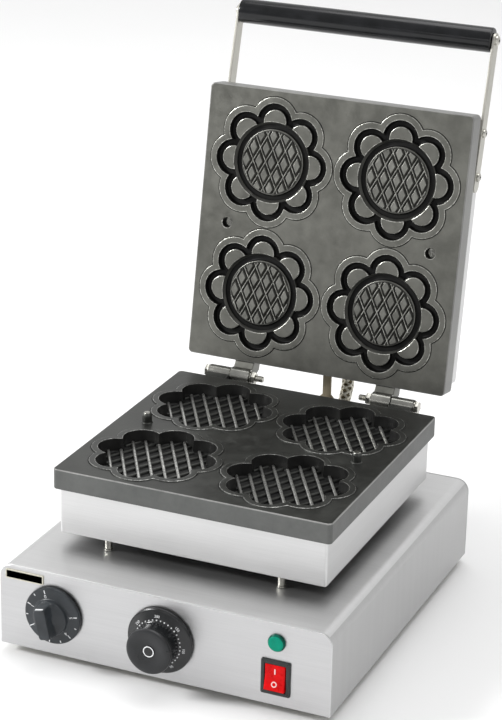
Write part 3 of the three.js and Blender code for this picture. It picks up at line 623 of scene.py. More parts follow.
# Darker iron for the pads' flanks, the recessed disc's floor and the ring groove's outer wall: painted shade.
LID_SLOPE_SHADE = cast_iron("lid_iron_slope_shade", (0.05, 0.05, 0.046), (0.08, 0.08, 0.073), 0.4)
LID_GRID = cast_iron("lid_iron_grid", (0.13, 0.13, 0.118), (0.23, 0.23, 0.21), 0.34, 0.12)
LID_SIDE = cast_iron("lid_iron_side", (0.2, 0.2, 0.195), (0.27, 0.27, 0.26), 0.42)
KNUCKLE_METAL = cast_iron("knuckle", (0.26, 0.26, 0.24), (0.36, 0.355, 0.33), 0.2, 0.02, metallic=0.95)

RUBBER = rubber("rubber")
GRIP_PLASTIC = plastic("grip_plastic", (0.003, 0.0035, 0.004), (0.006, 0.0065, 0.008), 0.18, 0.01)
SLATE_PLASTIC = plastic("slate_plastic", (0.018, 0.021, 0.024), (0.032, 0.037, 0.042), 0.34, 0.03)
BLACK_PLASTIC = plastic("black_plastic", (0.004, 0.0045, 0.005), (0.008, 0.009, 0.01), 0.2, 0.01, shine=0.5)
CAP_PLASTIC = plastic("cap_plastic", (0.01, 0.011, 0.012), (0.02, 0.021, 0.023), 0.3, 0.02)
SWITCH_PLASTIC = plastic("switch_plastic", (0.018, 0.02, 0.02), (0.03, 0.034, 0.034), 0.35, 0.02)
DARK_PLASTIC = plastic("dark_plastic", (0.012, 0.012, 0.013), (0.024, 0.024, 0.026), 0.5, 0.04)
RED = tinted("rocker_red", (0.5, 0.001, 0.002), (0.68, 0.002, 0.004), 0.26)
GREEN = tinted("lamp_green", (0, 0.2, 0.125), (0, 0.26, 0.165), 0.3)
GREEN_RIM = tinted("lamp_rim", (0, 0.06, 0.04), (0, 0.1, 0.07), 0.25)
WHITE_INK = paint("white_ink", (0.82, 0.83, 0.84))
CREAM_INK = paint("cream_frame", (0.62, 0.6, 0.5))
PALE_INK = paint("pale_mark", (0.9, 0.62, 0.6))
CERAMIC = mineral("ceramic", (0.62, 0.6, 0.53), (0.78, 0.76, 0.68))
WOOL = mineral("fibre_board", (0.5, 0.45, 0.34), (0.7, 0.65, 0.52), 900)
SHEATH = mineral("heater_sheath", (0.07, 0.06, 0.05), (0.17, 0.14, 0.12), 300)

# ---- base -----------------------------------------------------------------------------------


def base_outline(offset=0.0):
    """Front view of the base: square at the bottom, the sheet bent over at both sides of the top."""
    half, top, r = BASE_HALF - offset, BASE_TOP - offset, BASE_BEND - offset
    return ([(-half, BASE_BOTTOM), (half, BASE_BOTTOM)] + arc(half - r, top - r, r, 0, 90, 14)
            + arc(-half + r, top - r, r, 90, 180, 14))


def make_base_shell():
    shape = Shape()
    outer, inner = base_outline(), base_outline(SHEET)
    start, end = FRONT + SHEET + GAP, BACK - SHEET - GAP
    edge = 0.3
    # The sheet's section goes out along its outside and back along its inside.
    rings = []
    for y, grow in ((start, edge), (start + edge, 0), (end - edge, 0), (end, edge)):
        outside = [(x, y, z) for x, z in inset(outer, grow)]
        inside = [(x, y, z) for x, z in inset(inner, -grow)]
        rings.append(outside[1:] + outside[:1] + inside[:1] + inside[:0:-1])
    loops = [shape.add_ring(ring) for ring in rings]
    count = len(outer)
    for one, two in zip(loops, loops[1:]):
        for i in range(2 * count):
            j = (i + 1) % (2 * count)
            shape.add_face((one[i], one[j], two[j], two[i]))
    for loop in (loops[0], loops[-1]):
        for i in range(count - 1):
            across = (loop[i], loop[i + 1], loop[2 * count - 2 - i], loop[2 * count - 1 - i])
            shape.add_face(across, 1)
    # Faces across X take the darker side steel (painted shade), the rest the lighter top steel (painted
    # light).
    shape.piece("base_sheet", "base", "stainless", (STEEL_TOP_LIT, EDGE_STEEL_AND_HIGHLIGHT, STEEL_SIDE_SHADED), ("base_shell",),
                side_material=2)


def make_front_panel():
    shape = Shape()
    place = Matrix.Translation((0, FRONT, 0)) @ AXES["front"]
    # The outer bands of the front face's rounded edge take the bright edge steel, a painted highlight line.
    shape.prism(base_outline(), -SHEET, 0, place, edge=0.35, steps=3, materials=[0] * 4 + [1] * 2 + [0])
    shape.piece("panel_front", "base", "stainless", (STEEL_FRONT, EDGE_STEEL_AND_HIGHLIGHT), ("front_panel",))


def make_feet():
    for node in [n for n in frame["nodes"] if n.startswith("foot_") and "screw" not in n]:
        centre, top = middle(node), high(node).z
        profile = [(2.4, 4.5), (4.2, 4.5), (4.6, 4.1), (4.6, 0.3), (4.9, 0), (7.4, 0), (8.1, 0.35),
                   (8.4, 0.9), (8.9, top - 1), (8.6, top), (2.4, top)]
        shape = Shape()
        shape.turn(profile, Matrix.Translation((centre.x, centre.y, 0)), 40, closed=True)
        shape.piece("rubber_" + node, "base", "rubber_feet", RUBBER, (node,))


def make_posts():
    for node in [n for n in frame["nodes"] if n.startswith("post_")]:
        centre = middle(node)
        bottom, top = BASE_TOP + GAP, TRAY_BOTTOM - GAP
        profile = [(0, bottom), (3.4, bottom), (3.8, bottom + 0.4), (3.8, bottom + 1.4),
                   (3.2, bottom + 1.8), (3.2, top - 1.8), (3.8, top - 1.4), (3.8, top - 0.4),
                   (3.4, top), (0, top)]
        shape = Shape()
        shape.turn(profile, Matrix.Translation((centre.x, centre.y, 0)), 36)
        shape.piece("spacer_" + node, "base", "zinc_steel", ZINC, (node,))


def make_badge():
    """Blank name plate: a black field in a thin pale frame."""
    centre, size = middle("name_badge"), high("name_badge") - low("name_badge")
    place = facing_front(centre.x, centre.z)
    outline = rounded_rectangle(0, 0, size.x, size.z, 1.4)
    field = inset(outline, 1.15)
    frame_levels = [(outline, 0.0), (outline, 0.85), (inset(outline, 0.2), 1.05),
                    (inset(outline, 0.95), 1.05), (field, 0.8)]
    shape = Shape()
    shape.stack(frame_levels, place, 1, end=False)
    shape.stack([(field, 0.8), (inset(field, 0.1), 0.8)], place)
    bmesh.ops.remove_doubles(shape.mesh, verts=shape.mesh.verts, dist=1e-4)
    shape.piece("blank_badge", "base", "badge", (BLACK_PLASTIC, CREAM_INK), ("name_badge",))


# ---- trays ----------------------------------------------------------------------------------


def add_tray(shape, floor, mouth, under=0):
    """Square sheet tray with a bent floor at one height, open at the other."""
    away = 1 if mouth > floor else -1
    bend, lip = 1.6, 0.3
    outer = rounded_rectangle(0, PLATE_Y, 2 * TRAY_HALF, 2 * TRAY_HALF, TRAY_CORNER)
    inner = inset(outer, SHEET)
    levels = [(inset(outer, i), floor + away * d) for i, d in round_edge(bend, 5)]
    levels += [(outer, mouth - away * lip), (inset(outer, lip), mouth), (inset(outer, SHEET - lip), mouth),
               (inner, mouth - away * lip), (inner, floor + away * SHEET)]
    # The outside floor and its first bends take the under material, which the lower housing uses for painted
    # shade.
    shape.stack(levels, SHUT, [under] * 2 + [0] * 4 + [1, 1, 1, 0])


def make_lower_housing():
    shape = Shape()
    # Its underside in dark steel, painted shade.
    add_tray(shape, TRAY_BOTTOM, PLATE_BOTTOM - GAP, under=3)
    shape.piece("housing_lower", "base", "stainless", (STEEL_TRAY, EDGE_STEEL_AND_HIGHLIGHT, TRAY_SIDE, STEEL_UNDER_SHADE),
                ("lower_housing",), side_material=2)


def make_lid_cover():
    shape = Shape()
    add_tray(shape, COVER_TOP, LID_BACK + GAP)
    shape.piece("cover_upper", "lid", "stainless", (STEEL_TRAY, EDGE_STEEL_AND_HIGHLIGHT, COVER_SIDE), ("lid_cover",),
                OPEN, side_material=2)


# ---- moulds ---------------------------------------------------------------------------------


def plate_body(shape, face, back, holes, materials):
    """Plate with a rounded face edge; holes are loops of vertices left open in the face."""
    body, edge, side = materials
    away = 1 if back > face else -1
    outline = rounded_rectangle(0, PLATE_Y, 2 * PLATE_HALF, 2 * PLATE_HALF, PLATE_CORNER, 8)
    levels = [(inset(outline, i), face + away * d) for i, d in round_edge(0.9, 4)]
    levels += [(outline, back - away), (inset(outline, 0.3), back - away * 0.3), (inset(outline, 1), back)]
    loops = shape.stack(levels, SHUT, [edge] * 4 + [side] * 3, start=False)
    shape.fill([loops[0]] + holes, body)


def mould_wall(shape, x, y, face, away, depth, floor_fillet, materials):
    """Land and wall round one flower; returns the loop at the land's foot on the plate's face."""
    body, edge, dark = materials
    land = -away * LAND_HEIGHT
    rim, floor_edge = LOBE + LAND, LOBE - 0.5
    # Bands: a thin line of painted shade at the land's outer foot, the edge material (painted highlight) on
    # the land's outer and inner crests, and painted shade down the wall and over the cavity's floor.
    rings = [(rim + 0.5, 0, body), (rim, -land * 0.5, dark), (rim - 0.35, land * 0.7, body),
             (rim - 0.9, land, edge), (LOBE + 0.6, land, body), (LOBE + 0.15, land * 0.8, edge),
             (LOBE - 0.1, away * 0.4, dark), (floor_edge, away * (depth - floor_fillet), dark)]
    for i, d in round_edge(floor_fillet)[-2::-1]:
        rings.append((floor_edge - i, away * (depth - d), dark))
    levels = [(flower(x, y, lobe), face + z) for lobe, z, _ in rings]
    return shape.stack(levels, SHUT, [m for _, _, m in rings[1:]], start=False)[0]


def inside_flower(u, v, margin):
    """True inside a flower on the origin, grown by a margin."""
    if math.hypot(u, v) < LOBE_CENTRE:
        return True
    step = 2 * math.pi / LOBES
    spoke = round(math.atan2(v, u) / step) * step
    cu, cv = LOBE_CENTRE * math.cos(spoke), LOBE_CENTRE * math.sin(spoke)
    return math.hypot(u - cu, v - cv) < LOBE + margin


def rib_runs(test, angle, offset):
    """(start, end) stretches of one line across a shape where the test holds."""
    c, s = math.cos(angle), math.sin(angle)
    runs, start = [], None
    for i in range(int(2 * RIB_REACH / RIB_STEP) + 1):
        t = -RIB_REACH + i * RIB_STEP
        inside = test(t * c - offset * s, t * s + offset * c)
        if inside and start is None:
            start = t
        if not inside and start is not None:
            if t - start > SHORTEST_RIB:
                runs.append((start, t))
            start = None
    return runs


def add_ribs(shape, x, y, base, top, test, pitch, foot, crest, materials, lean, drop):
    """Two families of straight ribs that cross in lozenges, the second standing over the first."""
    body, dull, bright = materials
    half_count = int(RIB_REACH / pitch) + 1
    shoulder = base + 0.8 * (top - base)
    section = [(-foot / 2, base), (-crest / 2 - 0.1, shoulder), (-crest / 4, top), (crest / 4, top),
               (crest / 2 + 0.1, shoulder), (foot / 2, base)]
    sink = drop if top < base else -drop
    # Each family's crests take its own edge material; where these differ, the bright one is a painted
    # highlight.
    for angle, edge, shift in ((lean, dull, sink), (math.pi - lean, bright, 0)):
        bands = [body, edge, edge, edge, body, body]
        turned = Matrix.Translation((x, y, 0)) @ Matrix.Rotation(angle, 4, "Z")
        for k in range(-half_count, half_count + 1):
            offset = (k + 0.5) * pitch
            for ends in rib_runs(test, angle, offset):
                near, far = (shape.add_ring([(t, offset + u, w + (shift if w != base else 0))
                                             for u, w in section], turned) for t in ends)
                for i, band in enumerate(bands):
                    j = (i + 1) % len(bands)
                    shape.add_face((near[i], near[j], far[j], far[i]), band)
                shape.add_face(near, body)
                shape.add_face(far, body)


def add_pads(shape, x, y, floor, top, limit, materials):
    """Lozenge pads in offset rows, cut round at the disc's edge."""
    body, slope, dark = materials
    rise = PAD_PITCH * math.tan(PAD_ANGLE) / 2
    # share of the pitch from a pad's middle to its corner, at each height
    levels = [(0.42, floor, dark), (0.38, floor - 0.5, dark), (0.27, top + 0.15, slope), (0.24, top, body)]
    split = 5
    for row in range(-5, 6):
        for column in range(-5, 6):
            cu, cv = (column + 0.5 * (row % 2)) * PAD_PITCH, row * rise
            if math.hypot(cu, cv) > limit + 1:
                continue
            rings = []
            for share, z, _ in levels:
                wide, long = share * PAD_PITCH, share * 2 * rise
                corners = [(wide, 0), (0, long), (-wide, 0), (0, -long)]
                edge_radius = limit - abs(z - floor) * 0.1
                ring = []
                for (au, av), (bu, bv) in zip(corners, corners[1:] + corners[:1]):
                    for k in range(split):
                        u, v = cu + au + (bu - au) * k / split, cv + av + (bv - av) * k / split
                        shrink = min(1, edge_radius / math.hypot(u, v)) if (u or v) else 1
                        ring.append((x + u * shrink, y + v * shrink, z))
                rings.append(ring)
            # The pads' feet sink into near-black pits and their upper flanks take the darker slope iron:
            # painted shade.
            shape.loft(rings, SHUT, [m for _, _, m in levels[1:]], end=False)
            shape.add_face(shape.add_ring(rings[-1]), body)


def lug(shape, profile, inner, outer, knuckle, materials):
    """Cast lug on each side with a machined knuckle round the hinge axis."""
    body, metal = materials
    bore = 3.1
    place = Matrix.Translation((0, HINGE_Y, HINGE_Z)) @ AXES["x"]
    for _, s in SIDES:
        x0, x1 = (inner, outer) if s > 0 else (-outer, -inner)
        shape.prism(profile, x0, x1, AXES["x"], edge=0.7, steps=3, materials=body)
        shape.turn([(bore, x0), (knuckle - 0.6, x0), (knuckle, x0 + 0.6), (knuckle, x1 - 0.6),
                    (knuckle - 0.6, x1), (bore, x1)], place, 40, materials=metal, closed=True)


def make_lower_plate():
    shape = Shape()
    holes = []
    floor = PLATE_TOP - CAVITY
    for x, y in FLOWERS:
        holes.append(mould_wall(shape, x, y, PLATE_TOP, -1, CAVITY, 1.6, (0, 1, 4)))
        # Rib flanks in the near-black floor iron (painted shade), crests of the second family bright (painted
        # highlight), crests of the first in plain iron.
        add_ribs(shape, x, y, floor - 0.3, floor + 3, lambda u, v: inside_flower(u, v, -0.3),
                 pitch=11, foot=3.6, crest=2.4, materials=(4, 0, 6), lean=RIB_ANGLE, drop=0.9)
    # The face's rounded edge takes the lighter rim iron, a painted edge highlight.
    plate_body(shape, PLATE_TOP, PLATE_BOTTOM, holes, (0, 5, 3))
    profile = [(PLATE_BACK - 3, PLATE_BOTTOM + 2.5), (HINGE_Y - 6, PLATE_BOTTOM + 3),
               (HINGE_Y + 5.6, HINGE_Z - 3.2), (HINGE_Y - 1, HINGE_Z + 5.6), (HINGE_Y - 6, HINGE_Z + 1.6),
               (PLATE_BACK - 3, PLATE_TOP - 1.2)]
    lug(shape, profile, *BASE_LUG, KNUCKLE - 0.2, (0, 2))
    metals = (LOWER_IRON, LOWER_EDGE_HIGHLIGHT, KNUCKLE_METAL, LOWER_SIDE, LOWER_FLOOR_SHADE, LOWER_RIM_HIGHLIGHT, RIB_CREST_HIGHLIGHT)
    shape.piece("mould_lower", "base", "lower_iron", metals, ("lower_plate",))


def make_guide_pins():
    for side, s in SIDES:
        node = "guide_pin_" + side
        top = high(node).z
        foot = PLATE_TOP + 0.05
        profile = [(0, foot), (5, foot), (4.6, foot + 0.45), (4.2, foot + 0.85), (4.2, top - 3.4),
                   (3.9, top - 2.2), (3.1, top - 0.7), (2.5, top - 0.1), (1.8, top), (0, top)]
        shape = Shape()
        shape.turn(profile, Matrix.Translation((s * PIN_X, PLATE_Y, 0)), 40, [0] * 6 + [1] * 3)
        shape.piece("pin_" + side, "base", "lower_iron", (LOWER_IRON, KNUCKLE_METAL), (node,))


def island(shape, outline_at, face, floor, materials, crown=0.7, foot=1.6):
    """Flat-topped island that rises from a groove's floor with a soft foot and a rounded crown."""
    body, edge, dark = materials
    away = 1 if floor > face else -1
    rings = [(-foot, floor + away * 0.2)] + [(-i, floor - away * d) for i, d in round_edge(foot)]
    rings += [(0, face + away * crown)] + [(i, face + away * d) for i, d in round_edge(crown)[-2::-1]]
    levels = [(outline_at(i), z) for i, z in rings]
    # The foot and sides take the dark material (painted shade in the groove); the rounded crown takes the
    # edge material, a painted highlight on the petals.
    shape.stack(levels, SHUT, [dark] * 5 + [edge] * 3, end=False)
    shape.add_face(shape.add_ring(level(*levels[-1])), body)


def make_lid_plate():
    shape = Shape()
    holes = []
    floor = LID_FACE + GROOVE
    pad_floor = LID_FACE + 2.8
    for x, y in FLOWERS:
        holes.append(mould_wall(shape, x, y, LID_FACE, 1, GROOVE, 1.4, (0, 1, 2)))
        for i in range(LOBES):
            spoke = 2 * math.pi * i / LOBES
            island(shape, lambda distance: petal(x, y, spoke, distance), LID_FACE, floor, (0, 1, 2))
        # The recessed disc's floor takes the darker slope iron, painted shade.
        island(shape, lambda distance: circle(x, y, RING[0] - distance, 72), LID_FACE + DISC_RECESS, floor,
               (6, 3, 2))
        add_pads(shape, x, y, pad_floor, LID_FACE + 0.2, DISC_LIMIT, (3, 6, 2))
        # Lattice ribs whose crests take the bright edge iron, a painted highlight.
        add_ribs(shape, x, y, pad_floor, LID_FACE + 1, lambda u, v: math.hypot(u, v) < DISC_LIMIT,
                 pitch=PAD_PITCH * math.sin(PAD_ANGLE), foot=1.7, crest=0.9, materials=(3, 1, 1),
                 lean=PAD_ANGLE, drop=0.12)
        # The ring groove's outer wall takes the darker slope iron, painted shade.
        ridge = [(RING[1] + 0.3, LID_FACE + 1.4), (RING[1] - 1.7, LID_FACE + 3.6), (RING[1] + 0.3, floor)]
        shape.turn(ridge, Matrix.Translation((x, y, 0)), 72, 6, closed=True)
    for _, s in SIDES:
        # Each pin hole: bright edge iron on its chamfer (painted highlight) and on its floor (painted light),
        # near-black walls between (painted shade).
        hole = [(5.3, 0), (4.7, 0.5), (4.6, 10), (0, 11)]
        levels = [(circle(s * PIN_X, PLATE_Y, r, 36) if r else [(s * PIN_X, PLATE_Y)], LID_FACE + d)
                  for r, d in hole]
        holes.append(shape.stack(levels, SHUT, [1, 2, 1], start=False)[0])
    plate_body(shape, LID_FACE, LID_BACK, holes, (0, 5, 5))
    profile = [(PLATE_BACK - 3, LID_FACE + 4), (HINGE_Y - 6.2, HINGE_Z + 1.6),
               (HINGE_Y + 6.2, HINGE_Z + 1.6),
               (HINGE_Y - 4, LID_FACE + 16.5), (PLATE_BACK - 3, LID_FACE + 18)]
    lug(shape, profile, *LID_LUG, KNUCKLE + 1, (0, 4))
    metals = (LID_IRON, LID_EDGE_HIGHLIGHT, LID_GROOVE_SHADE, LID_GRID, KNUCKLE_METAL, LID_SIDE, LID_SLOPE_SHADE)
    shape.piece("mould_upper", "lid", "lid_iron", metals, ("lid_plate",), OPEN)


# ---- hinge ----------------------------------------------------------------------------------


def threaded(start, end, radius, pitch=0.8):
    """Profile of a threaded stretch of a bolt."""
    profile, h = [], start
    while h < end - pitch:
        profile += [(radius - 0.35, h), (radius, h + pitch / 2)]
        h += pitch
    return profile


def make_hinge_bolts():
    for side, s in SIDES:
        place = along_x(s, HINGE_Y, HINGE_Z)
        head = BASE_LUG[1] + GAP
        washer = head + 0.6
        bolt = Shape()
        profile = [(0, BOLT_TIP), (2.2, BOLT_TIP), (2.8, BOLT_TIP + 0.7)]
        profile += threaded(BOLT_TIP + 0.8, THREAD_END, 2.9)
        bolt.turn(profile + [(2.9, THREAD_END), (2.9, washer), (0, washer)], place, 28)
        bolt.turn([(3.2, head - 0.1), (5.6, head - 0.1), (5.75, head + 0.15), (5.6, washer), (3.2, washer)],
                  place, 36, closed=True)
        bolt.prism(hexagon(0, 0, HEXAGON), washer, head + 4, place, edge=0.7)
        bolt.piece("bolt_" + side, "base", "zinc_steel", ZINC, ("hinge_bolt_" + side,))
        nut = Shape()
        end = LID_LUG[0] - GAP
        nut.prism(hexagon(0, 0, HEXAGON), end - NUT_LENGTH, end - 0.9, place, edge=0.7)
        nut.turn([(3.2, end - 0.85), (5.5, end - 0.85), (5.7, end - 0.5), (5.5, end), (3.2, end)],
                 place, 36, closed=True)
        nut.piece("nut_" + side, "base", "zinc_steel", ZINC, ("hinge_nut_" + side,))


def make_lid_stop():
    """Folded strip from the housing's rear wall up to the open lid's edge."""
    bottom, top = low("lid_stop"), high("lid_stop")
    x, half, narrow = middle("lid_stop").x, (top.x - bottom.x) / 2, 4
    thick = 2.2
    shelf = PLATE_BOTTOM - GAP - thick
    shelf_top = shelf + thick
    shape = Shape()
    wall = rounded_rectangle(x, (bottom.z + shelf_top) / 2, 2 * half, shelf_top - bottom.z, 1.2)
    shape.prism(wall, bottom.y, bottom.y + thick, AXES["back"])
    plan = rounded_rectangle(x, (bottom.y + top.y) / 2, 2 * half, top.y - bottom.y, 0.6)
    shape.prism(plan, shelf, shelf_top)
    shoulder = HINGE_Z - 10
    upright = [(x - half, shelf), (x + half, shelf), (x + half, shoulder - 2.5), (x + narrow, shoulder),
               (x + narrow, top.z), (x - narrow, top.z), (x - narrow, shoulder), (x - half, shoulder - 2.5)]
    shape.prism(upright, top.y - thick, top.y, AXES["back"])
    shape.piece("stop_strip", "base", "stainless", STOP_STEEL, ("lid_stop",))


# ---- conduit --------------------------------------------------------------------------------


def catmull(points, steps):
    """Smooth curve through all the points."""
    pts = [Vector(p) for p in points]
    pts = [2 * pts[0] - pts[1]] + pts + [2 * pts[-1] - pts[-2]]
    curve = []
    for a, b, c, d in zip(pts, pts[1:], pts[2:], pts[3:]):
        for k in range(steps):
            t = k / steps
            curve.append(0.5 * (2 * b + (c - a) * t + (2 * a - 5 * b + 4 * c - d) * t ** 2
                                + (3 * b - 3 * c + d - a) * t ** 3))
    return curve + [pts[-2]]


def make_conduit():
    """Braided lead: crossing strands pressed into a tube's surface."""
    bottom = middle("conduit_lower_gland")
    x, y, gland_end = bottom.x, bottom.y, high("conduit_lower_gland").z + GAP
    wall = PLATE_Y + TRAY_HALF + GAP + GLAND_LENGTH + GAP
    end = OPEN @ Vector((CONDUIT_TOP_X, wall, COVER_MIDDLE))
    before_end = OPEN @ Vector((CONDUIT_TOP_X, wall + 9, COVER_MIDDLE))
    route = [(x, y, gland_end - 2), (x, y, gland_end + 9), (x + 1, y + 8, gland_end + 24),
             (x + 3, y + 24, gland_end + 36), before_end, end]
    curve = catmull(route, 34)
    strands, braid_pitch, valley = 4, 4.2, CONDUIT_RADIUS - 0.95
    rings = []
    length = 0.0
    for i, point in enumerate(curve):
        ahead = (curve[min(i + 1, len(curve) - 1)] - curve[max(i - 1, 0)]).normalized()
        side = Vector((1, 0, 0))
        across = (side - ahead * side.dot(ahead)).normalized()
        up = ahead.cross(across)
        length += (point - curve[i - 1]).length if i else 0
        twist = length / braid_pitch
        ring = []
        for k in range(48):
            a = 2 * math.pi * k / 48
            strand = max(math.cos(strands * (a - twist)), math.cos(strands * (a + twist)))
            r = valley + 0.75 * max(0, strand)
            ring.append(point + r * (math.cos(a) * across + math.sin(a) * up))
        rings.append(ring)
    shape = Shape()
    shape.loft(rings)
    # Faces sunk between the strands take the dark gap material, painted shade.
    for face in shape.mesh.faces:
        centre = face.calc_center_median()
        nearest = min(curve, key=lambda point: (point - centre).length_squared)
        face.material_index = 1 if (nearest - centre).length < CONDUIT_RADIUS - 0.72 else 0
    piece = shape.make_object("braid", (BRAID, BRAID_GAP_SHADE))
    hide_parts("braided_conduit")
    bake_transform(piece)


def gland(shape, place):
    shape.turn([(5.2, 0), (8.6, 0), (9, 0.4), (9, 2.4), (8.6, 2.8), (5.2, 2.8)], place, 40, closed=True)
    shape.prism(hexagon(0, 0, 13.4), 2.8, 7.6, place, edge=0.6)
    shape.turn([(5.2, 7.5), (7, 7.5), (7, 8.3), (6.6, 8.4), (6.6, 9), (6.3, GLAND_LENGTH),
                (5.2, GLAND_LENGTH)], place, 40, closed=True)


def make_glands():
    lower = Shape()
    base = middle("conduit_lower_gland")
    gland(lower, Matrix.Translation((base.x, base.y, BASE_TOP + GAP)))
    lower.piece("gland_lower", "base", "gland_metal", NICKEL, ("conduit_lower_gland",))
    upper = Shape()
    seat = Matrix.Translation((CONDUIT_TOP_X, PLATE_Y + TRAY_HALF + GAP, COVER_MIDDLE))
    gland(upper, seat @ Matrix.Rotation(-math.pi / 2, 4, "X"))
    upper.piece("gland_upper", "lid", "gland_metal", NICKEL, ("conduit_upper_gland",), OPEN)


# ---- handle ---------------------------------------------------------------------------------


def arm_height(y):
    return ARM_TIP.y + (ARM_ROOT.y - ARM_TIP.y) * (y - ARM_TIP.x) / (ARM_ROOT.x - ARM_TIP.x)


def pan_head(shape, place, radius, height):
    """Domed screw head with a cross-shaped recess."""
    count = 48
    slot_half = 0.11 * radius

    def recess(grow):
        def reach(angle):
            along, across = sorted((abs(math.cos(angle)), abs(math.sin(angle))), reverse=True)
            to_edge = min(0.4 * radius * grow / along, slot_half / max(across, 1e-6))
            return max(to_edge, slot_half * 1.35)
        return reach

    dome = [(1, 0), (1, 0.25), (0.93, 0.65), (0.7, 0.93), (0.42, 1)]
    rings = [level(circle(0, 0, share * radius, count), rise * height) for share, rise in dome]
    rings += [polar_ring(recess(1), height, count), polar_ring(recess(0.75), 0.45 * height, count)]
    # The cross recess takes the second material, near-black groove iron on the screws: painted shade.
    shape.loft(rings, place, [0] * 5 + [1])


def make_handle():
    lean = math.degrees(math.atan2(ARM_TIP.y - ARM_ROOT.y, ARM_ROOT.x - ARM_TIP.x))
    outline = arc(ARM_ROOT.x, ARM_ROOT.y, ARM_HALF_WIDTH, -90 - lean, 90 - lean, 16)
    outline += arc(ARM_TIP.x, ARM_TIP.y, ARM_HALF_WIDTH, 90 - lean, 270 - lean, 16)
    inner = TRAY_HALF + GAP
    outer = inner + ARM_THICKNESS
    on_arm = Matrix.Translation((0, 0, outer))
    for side, s in SIDES:
        arm = Shape()
        arm.prism(outline, *sorted((s * inner, s * outer)), AXES["x"], edge=0.5, steps=3)
        arm.piece("arm_" + side, "lid", "stainless", STEEL_ARM, ("handle_arm_" + side,), OPEN)
        for row, offset in zip(("front", "back"), ARM_SCREWS):
            y = FRONT + offset
            screw = Shape()
            pan_head(screw, along_x(s, y, arm_height(y)) @ on_arm, 4, 2.4)
            screw.piece(f"screw_{row}_{side}", "lid", "zinc_steel", (ZINC, LID_GROOVE_SHADE),
                        (f"arm_screw_{row}_{side}",), OPEN)
        end = Shape()
        pan_head(end, along_x(s, ARM_TIP.x, ARM_TIP.y) @ on_arm, 4.6, 2.4)
        end.piece("end_screw_" + side, "lid", "zinc_steel", (ZINC, LID_GROOVE_SHADE), ("grip_screw_" + side,), OPEN)
    grip = Shape()
    half, r, bore = TRAY_HALF - 0.2, GRIP_RADIUS, 3.6
    belly, swell, count = half - 6, 0.15, 12
    profile = [(bore, -half), (r - 1.6, -half), (r - 0.5, -half + 0.4), (r, -half + 1.6), (r, -belly)]
    profile += [(r + swell * math.sin(math.pi * i / count), -belly + 2 * belly * i / count)
                for i in range(1, count)]
    profile += [(r, belly), (r, half - 1.6), (r - 0.5, half - 0.4), (r - 1.6, half), (bore, half)]
    place = Matrix.Translation((0, ARM_TIP.x, ARM_TIP.y)) @ AXES["x"]
    grip.turn(profile, place, 64, closed=True)
    grip.piece("bar_grip", "lid", "grip_plastic", GRIP_PLASTIC, ("handle_grip",), OPEN)


# ---- controls -------------------------------------------------------------------------------


def add_text(shape, text, size, place):
    """Raised dial number, centred on its place."""
    curve = bpy.data.curves.new("text", "FONT")
    curve.body = text
    curve.size = size
    curve.align_x = "CENTER"
    curve.align_y = "CENTER"
    curve.extrude = 0.1
    curve.resolution_u = 3
    holder = bpy.data.objects.new("text", curve)
    data = bpy.data.meshes.new_from_object(holder)
    data.transform(place)
    shape.mesh.from_mesh(data)
    bpy.data.objects.remove(holder)
    bpy.data.meshes.remove(data)
    bpy.data.curves.remove(curve)


def on_dial(place, angle, radius, reach):
    """Place on a dial's face, angle clockwise from its top, with local +Y pointing outwards."""
    return place @ Matrix.Rotation(-angle, 4, "Z") @ Matrix.Translation((0, radius, reach))


def add_mark(shape, width, length, depth, height, place):
    """Bar printed on a dial."""
    shape.prism(rounded_rectangle(0, 0, width, length, 0.3, 3), -depth, height, place, 0.05, 1)


def block_radius(angle, half_width, half_length, power=9):
    """Distance from the middle of a rounded block to its edge, along an angle from its width axis."""
    c, s = abs(math.cos(angle)), abs(math.sin(angle))
    return ((c / half_width) ** power + (s / half_length) ** power) ** (-1 / power)


def make_timer_knob():
    centre = middle("timer_knob")
    setting = math.radians(12)
    place = facing_front(centre.x, centre.z)
    shape = Shape()
    shape.turn([(3.4, 1), (24.5, 1), (25.1, 1.4), (25.2, 2.0), (25.2, 3.1), (24.8, 3.9), (24.1, 4.3),
                (23.4, 4.5), (17.2, 5.4), (16.2, 5.8), (15.6, 6.6), (3.4, 6.6)], place, 96, closed=True)
    turned = place @ Matrix.Rotation(setting, 4, "Z")
    # radius, reach from the panel, and how far the round foot has become a bar
    levels = [(15.6, 6.4, 0.0), (15.3, 8.6, 0.0), (15.2, 9.2, 0.02), (14.8, 9.6, 0.05), (14.6, 10.4, 0.25),
              (14.3, 11.6, 0.62), (14.0, 12.6, 0.88), (13.8, 14.0, 1.0), (13.5, 20.6, 1.0), (13.2, 21.8, 1.0),
              (12.6, 22.35, 1.0), (11.8, 22.5, 1.0)]
    shape.loft([polar_ring(lambda a: (1 - share) * radius + share * block_radius(a, 0.385 * radius, radius),
                           reach, 96) for radius, reach, share in levels], turned)
    marks = Shape()
    step = math.radians(52.5)
    zero = math.radians(-17)
    for i in range(6):
        angle = zero - i * step
        add_text(marks, str(i), 4.4, on_dial(place, angle, 17.9, 5.45))
        add_mark(marks, 0.75, 3.4, 0.3, 0.25, on_dial(place, angle, 21.8, 4.75))
        if i < 5:
            add_mark(marks, 0.75, 2, 0.3, 0.25, on_dial(place, angle - step / 2, 22.6, 4.65))
    pointer = turned @ Matrix.Translation((0, 13.2, 20.2)) @ Matrix.Rotation(-0.15, 4, "X")
    marks.prism(rounded_rectangle(0, 0, 7.2, 0.8, 0.35, 3), -1.4, 1.4, pointer, 0.1, 1)
    shape.piece("knob_timer", "timer", "timer_plastic", SLATE_PLASTIC, ("timer_knob",))
    marks.piece("marks_timer", "timer", "timer_plastic", WHITE_INK)


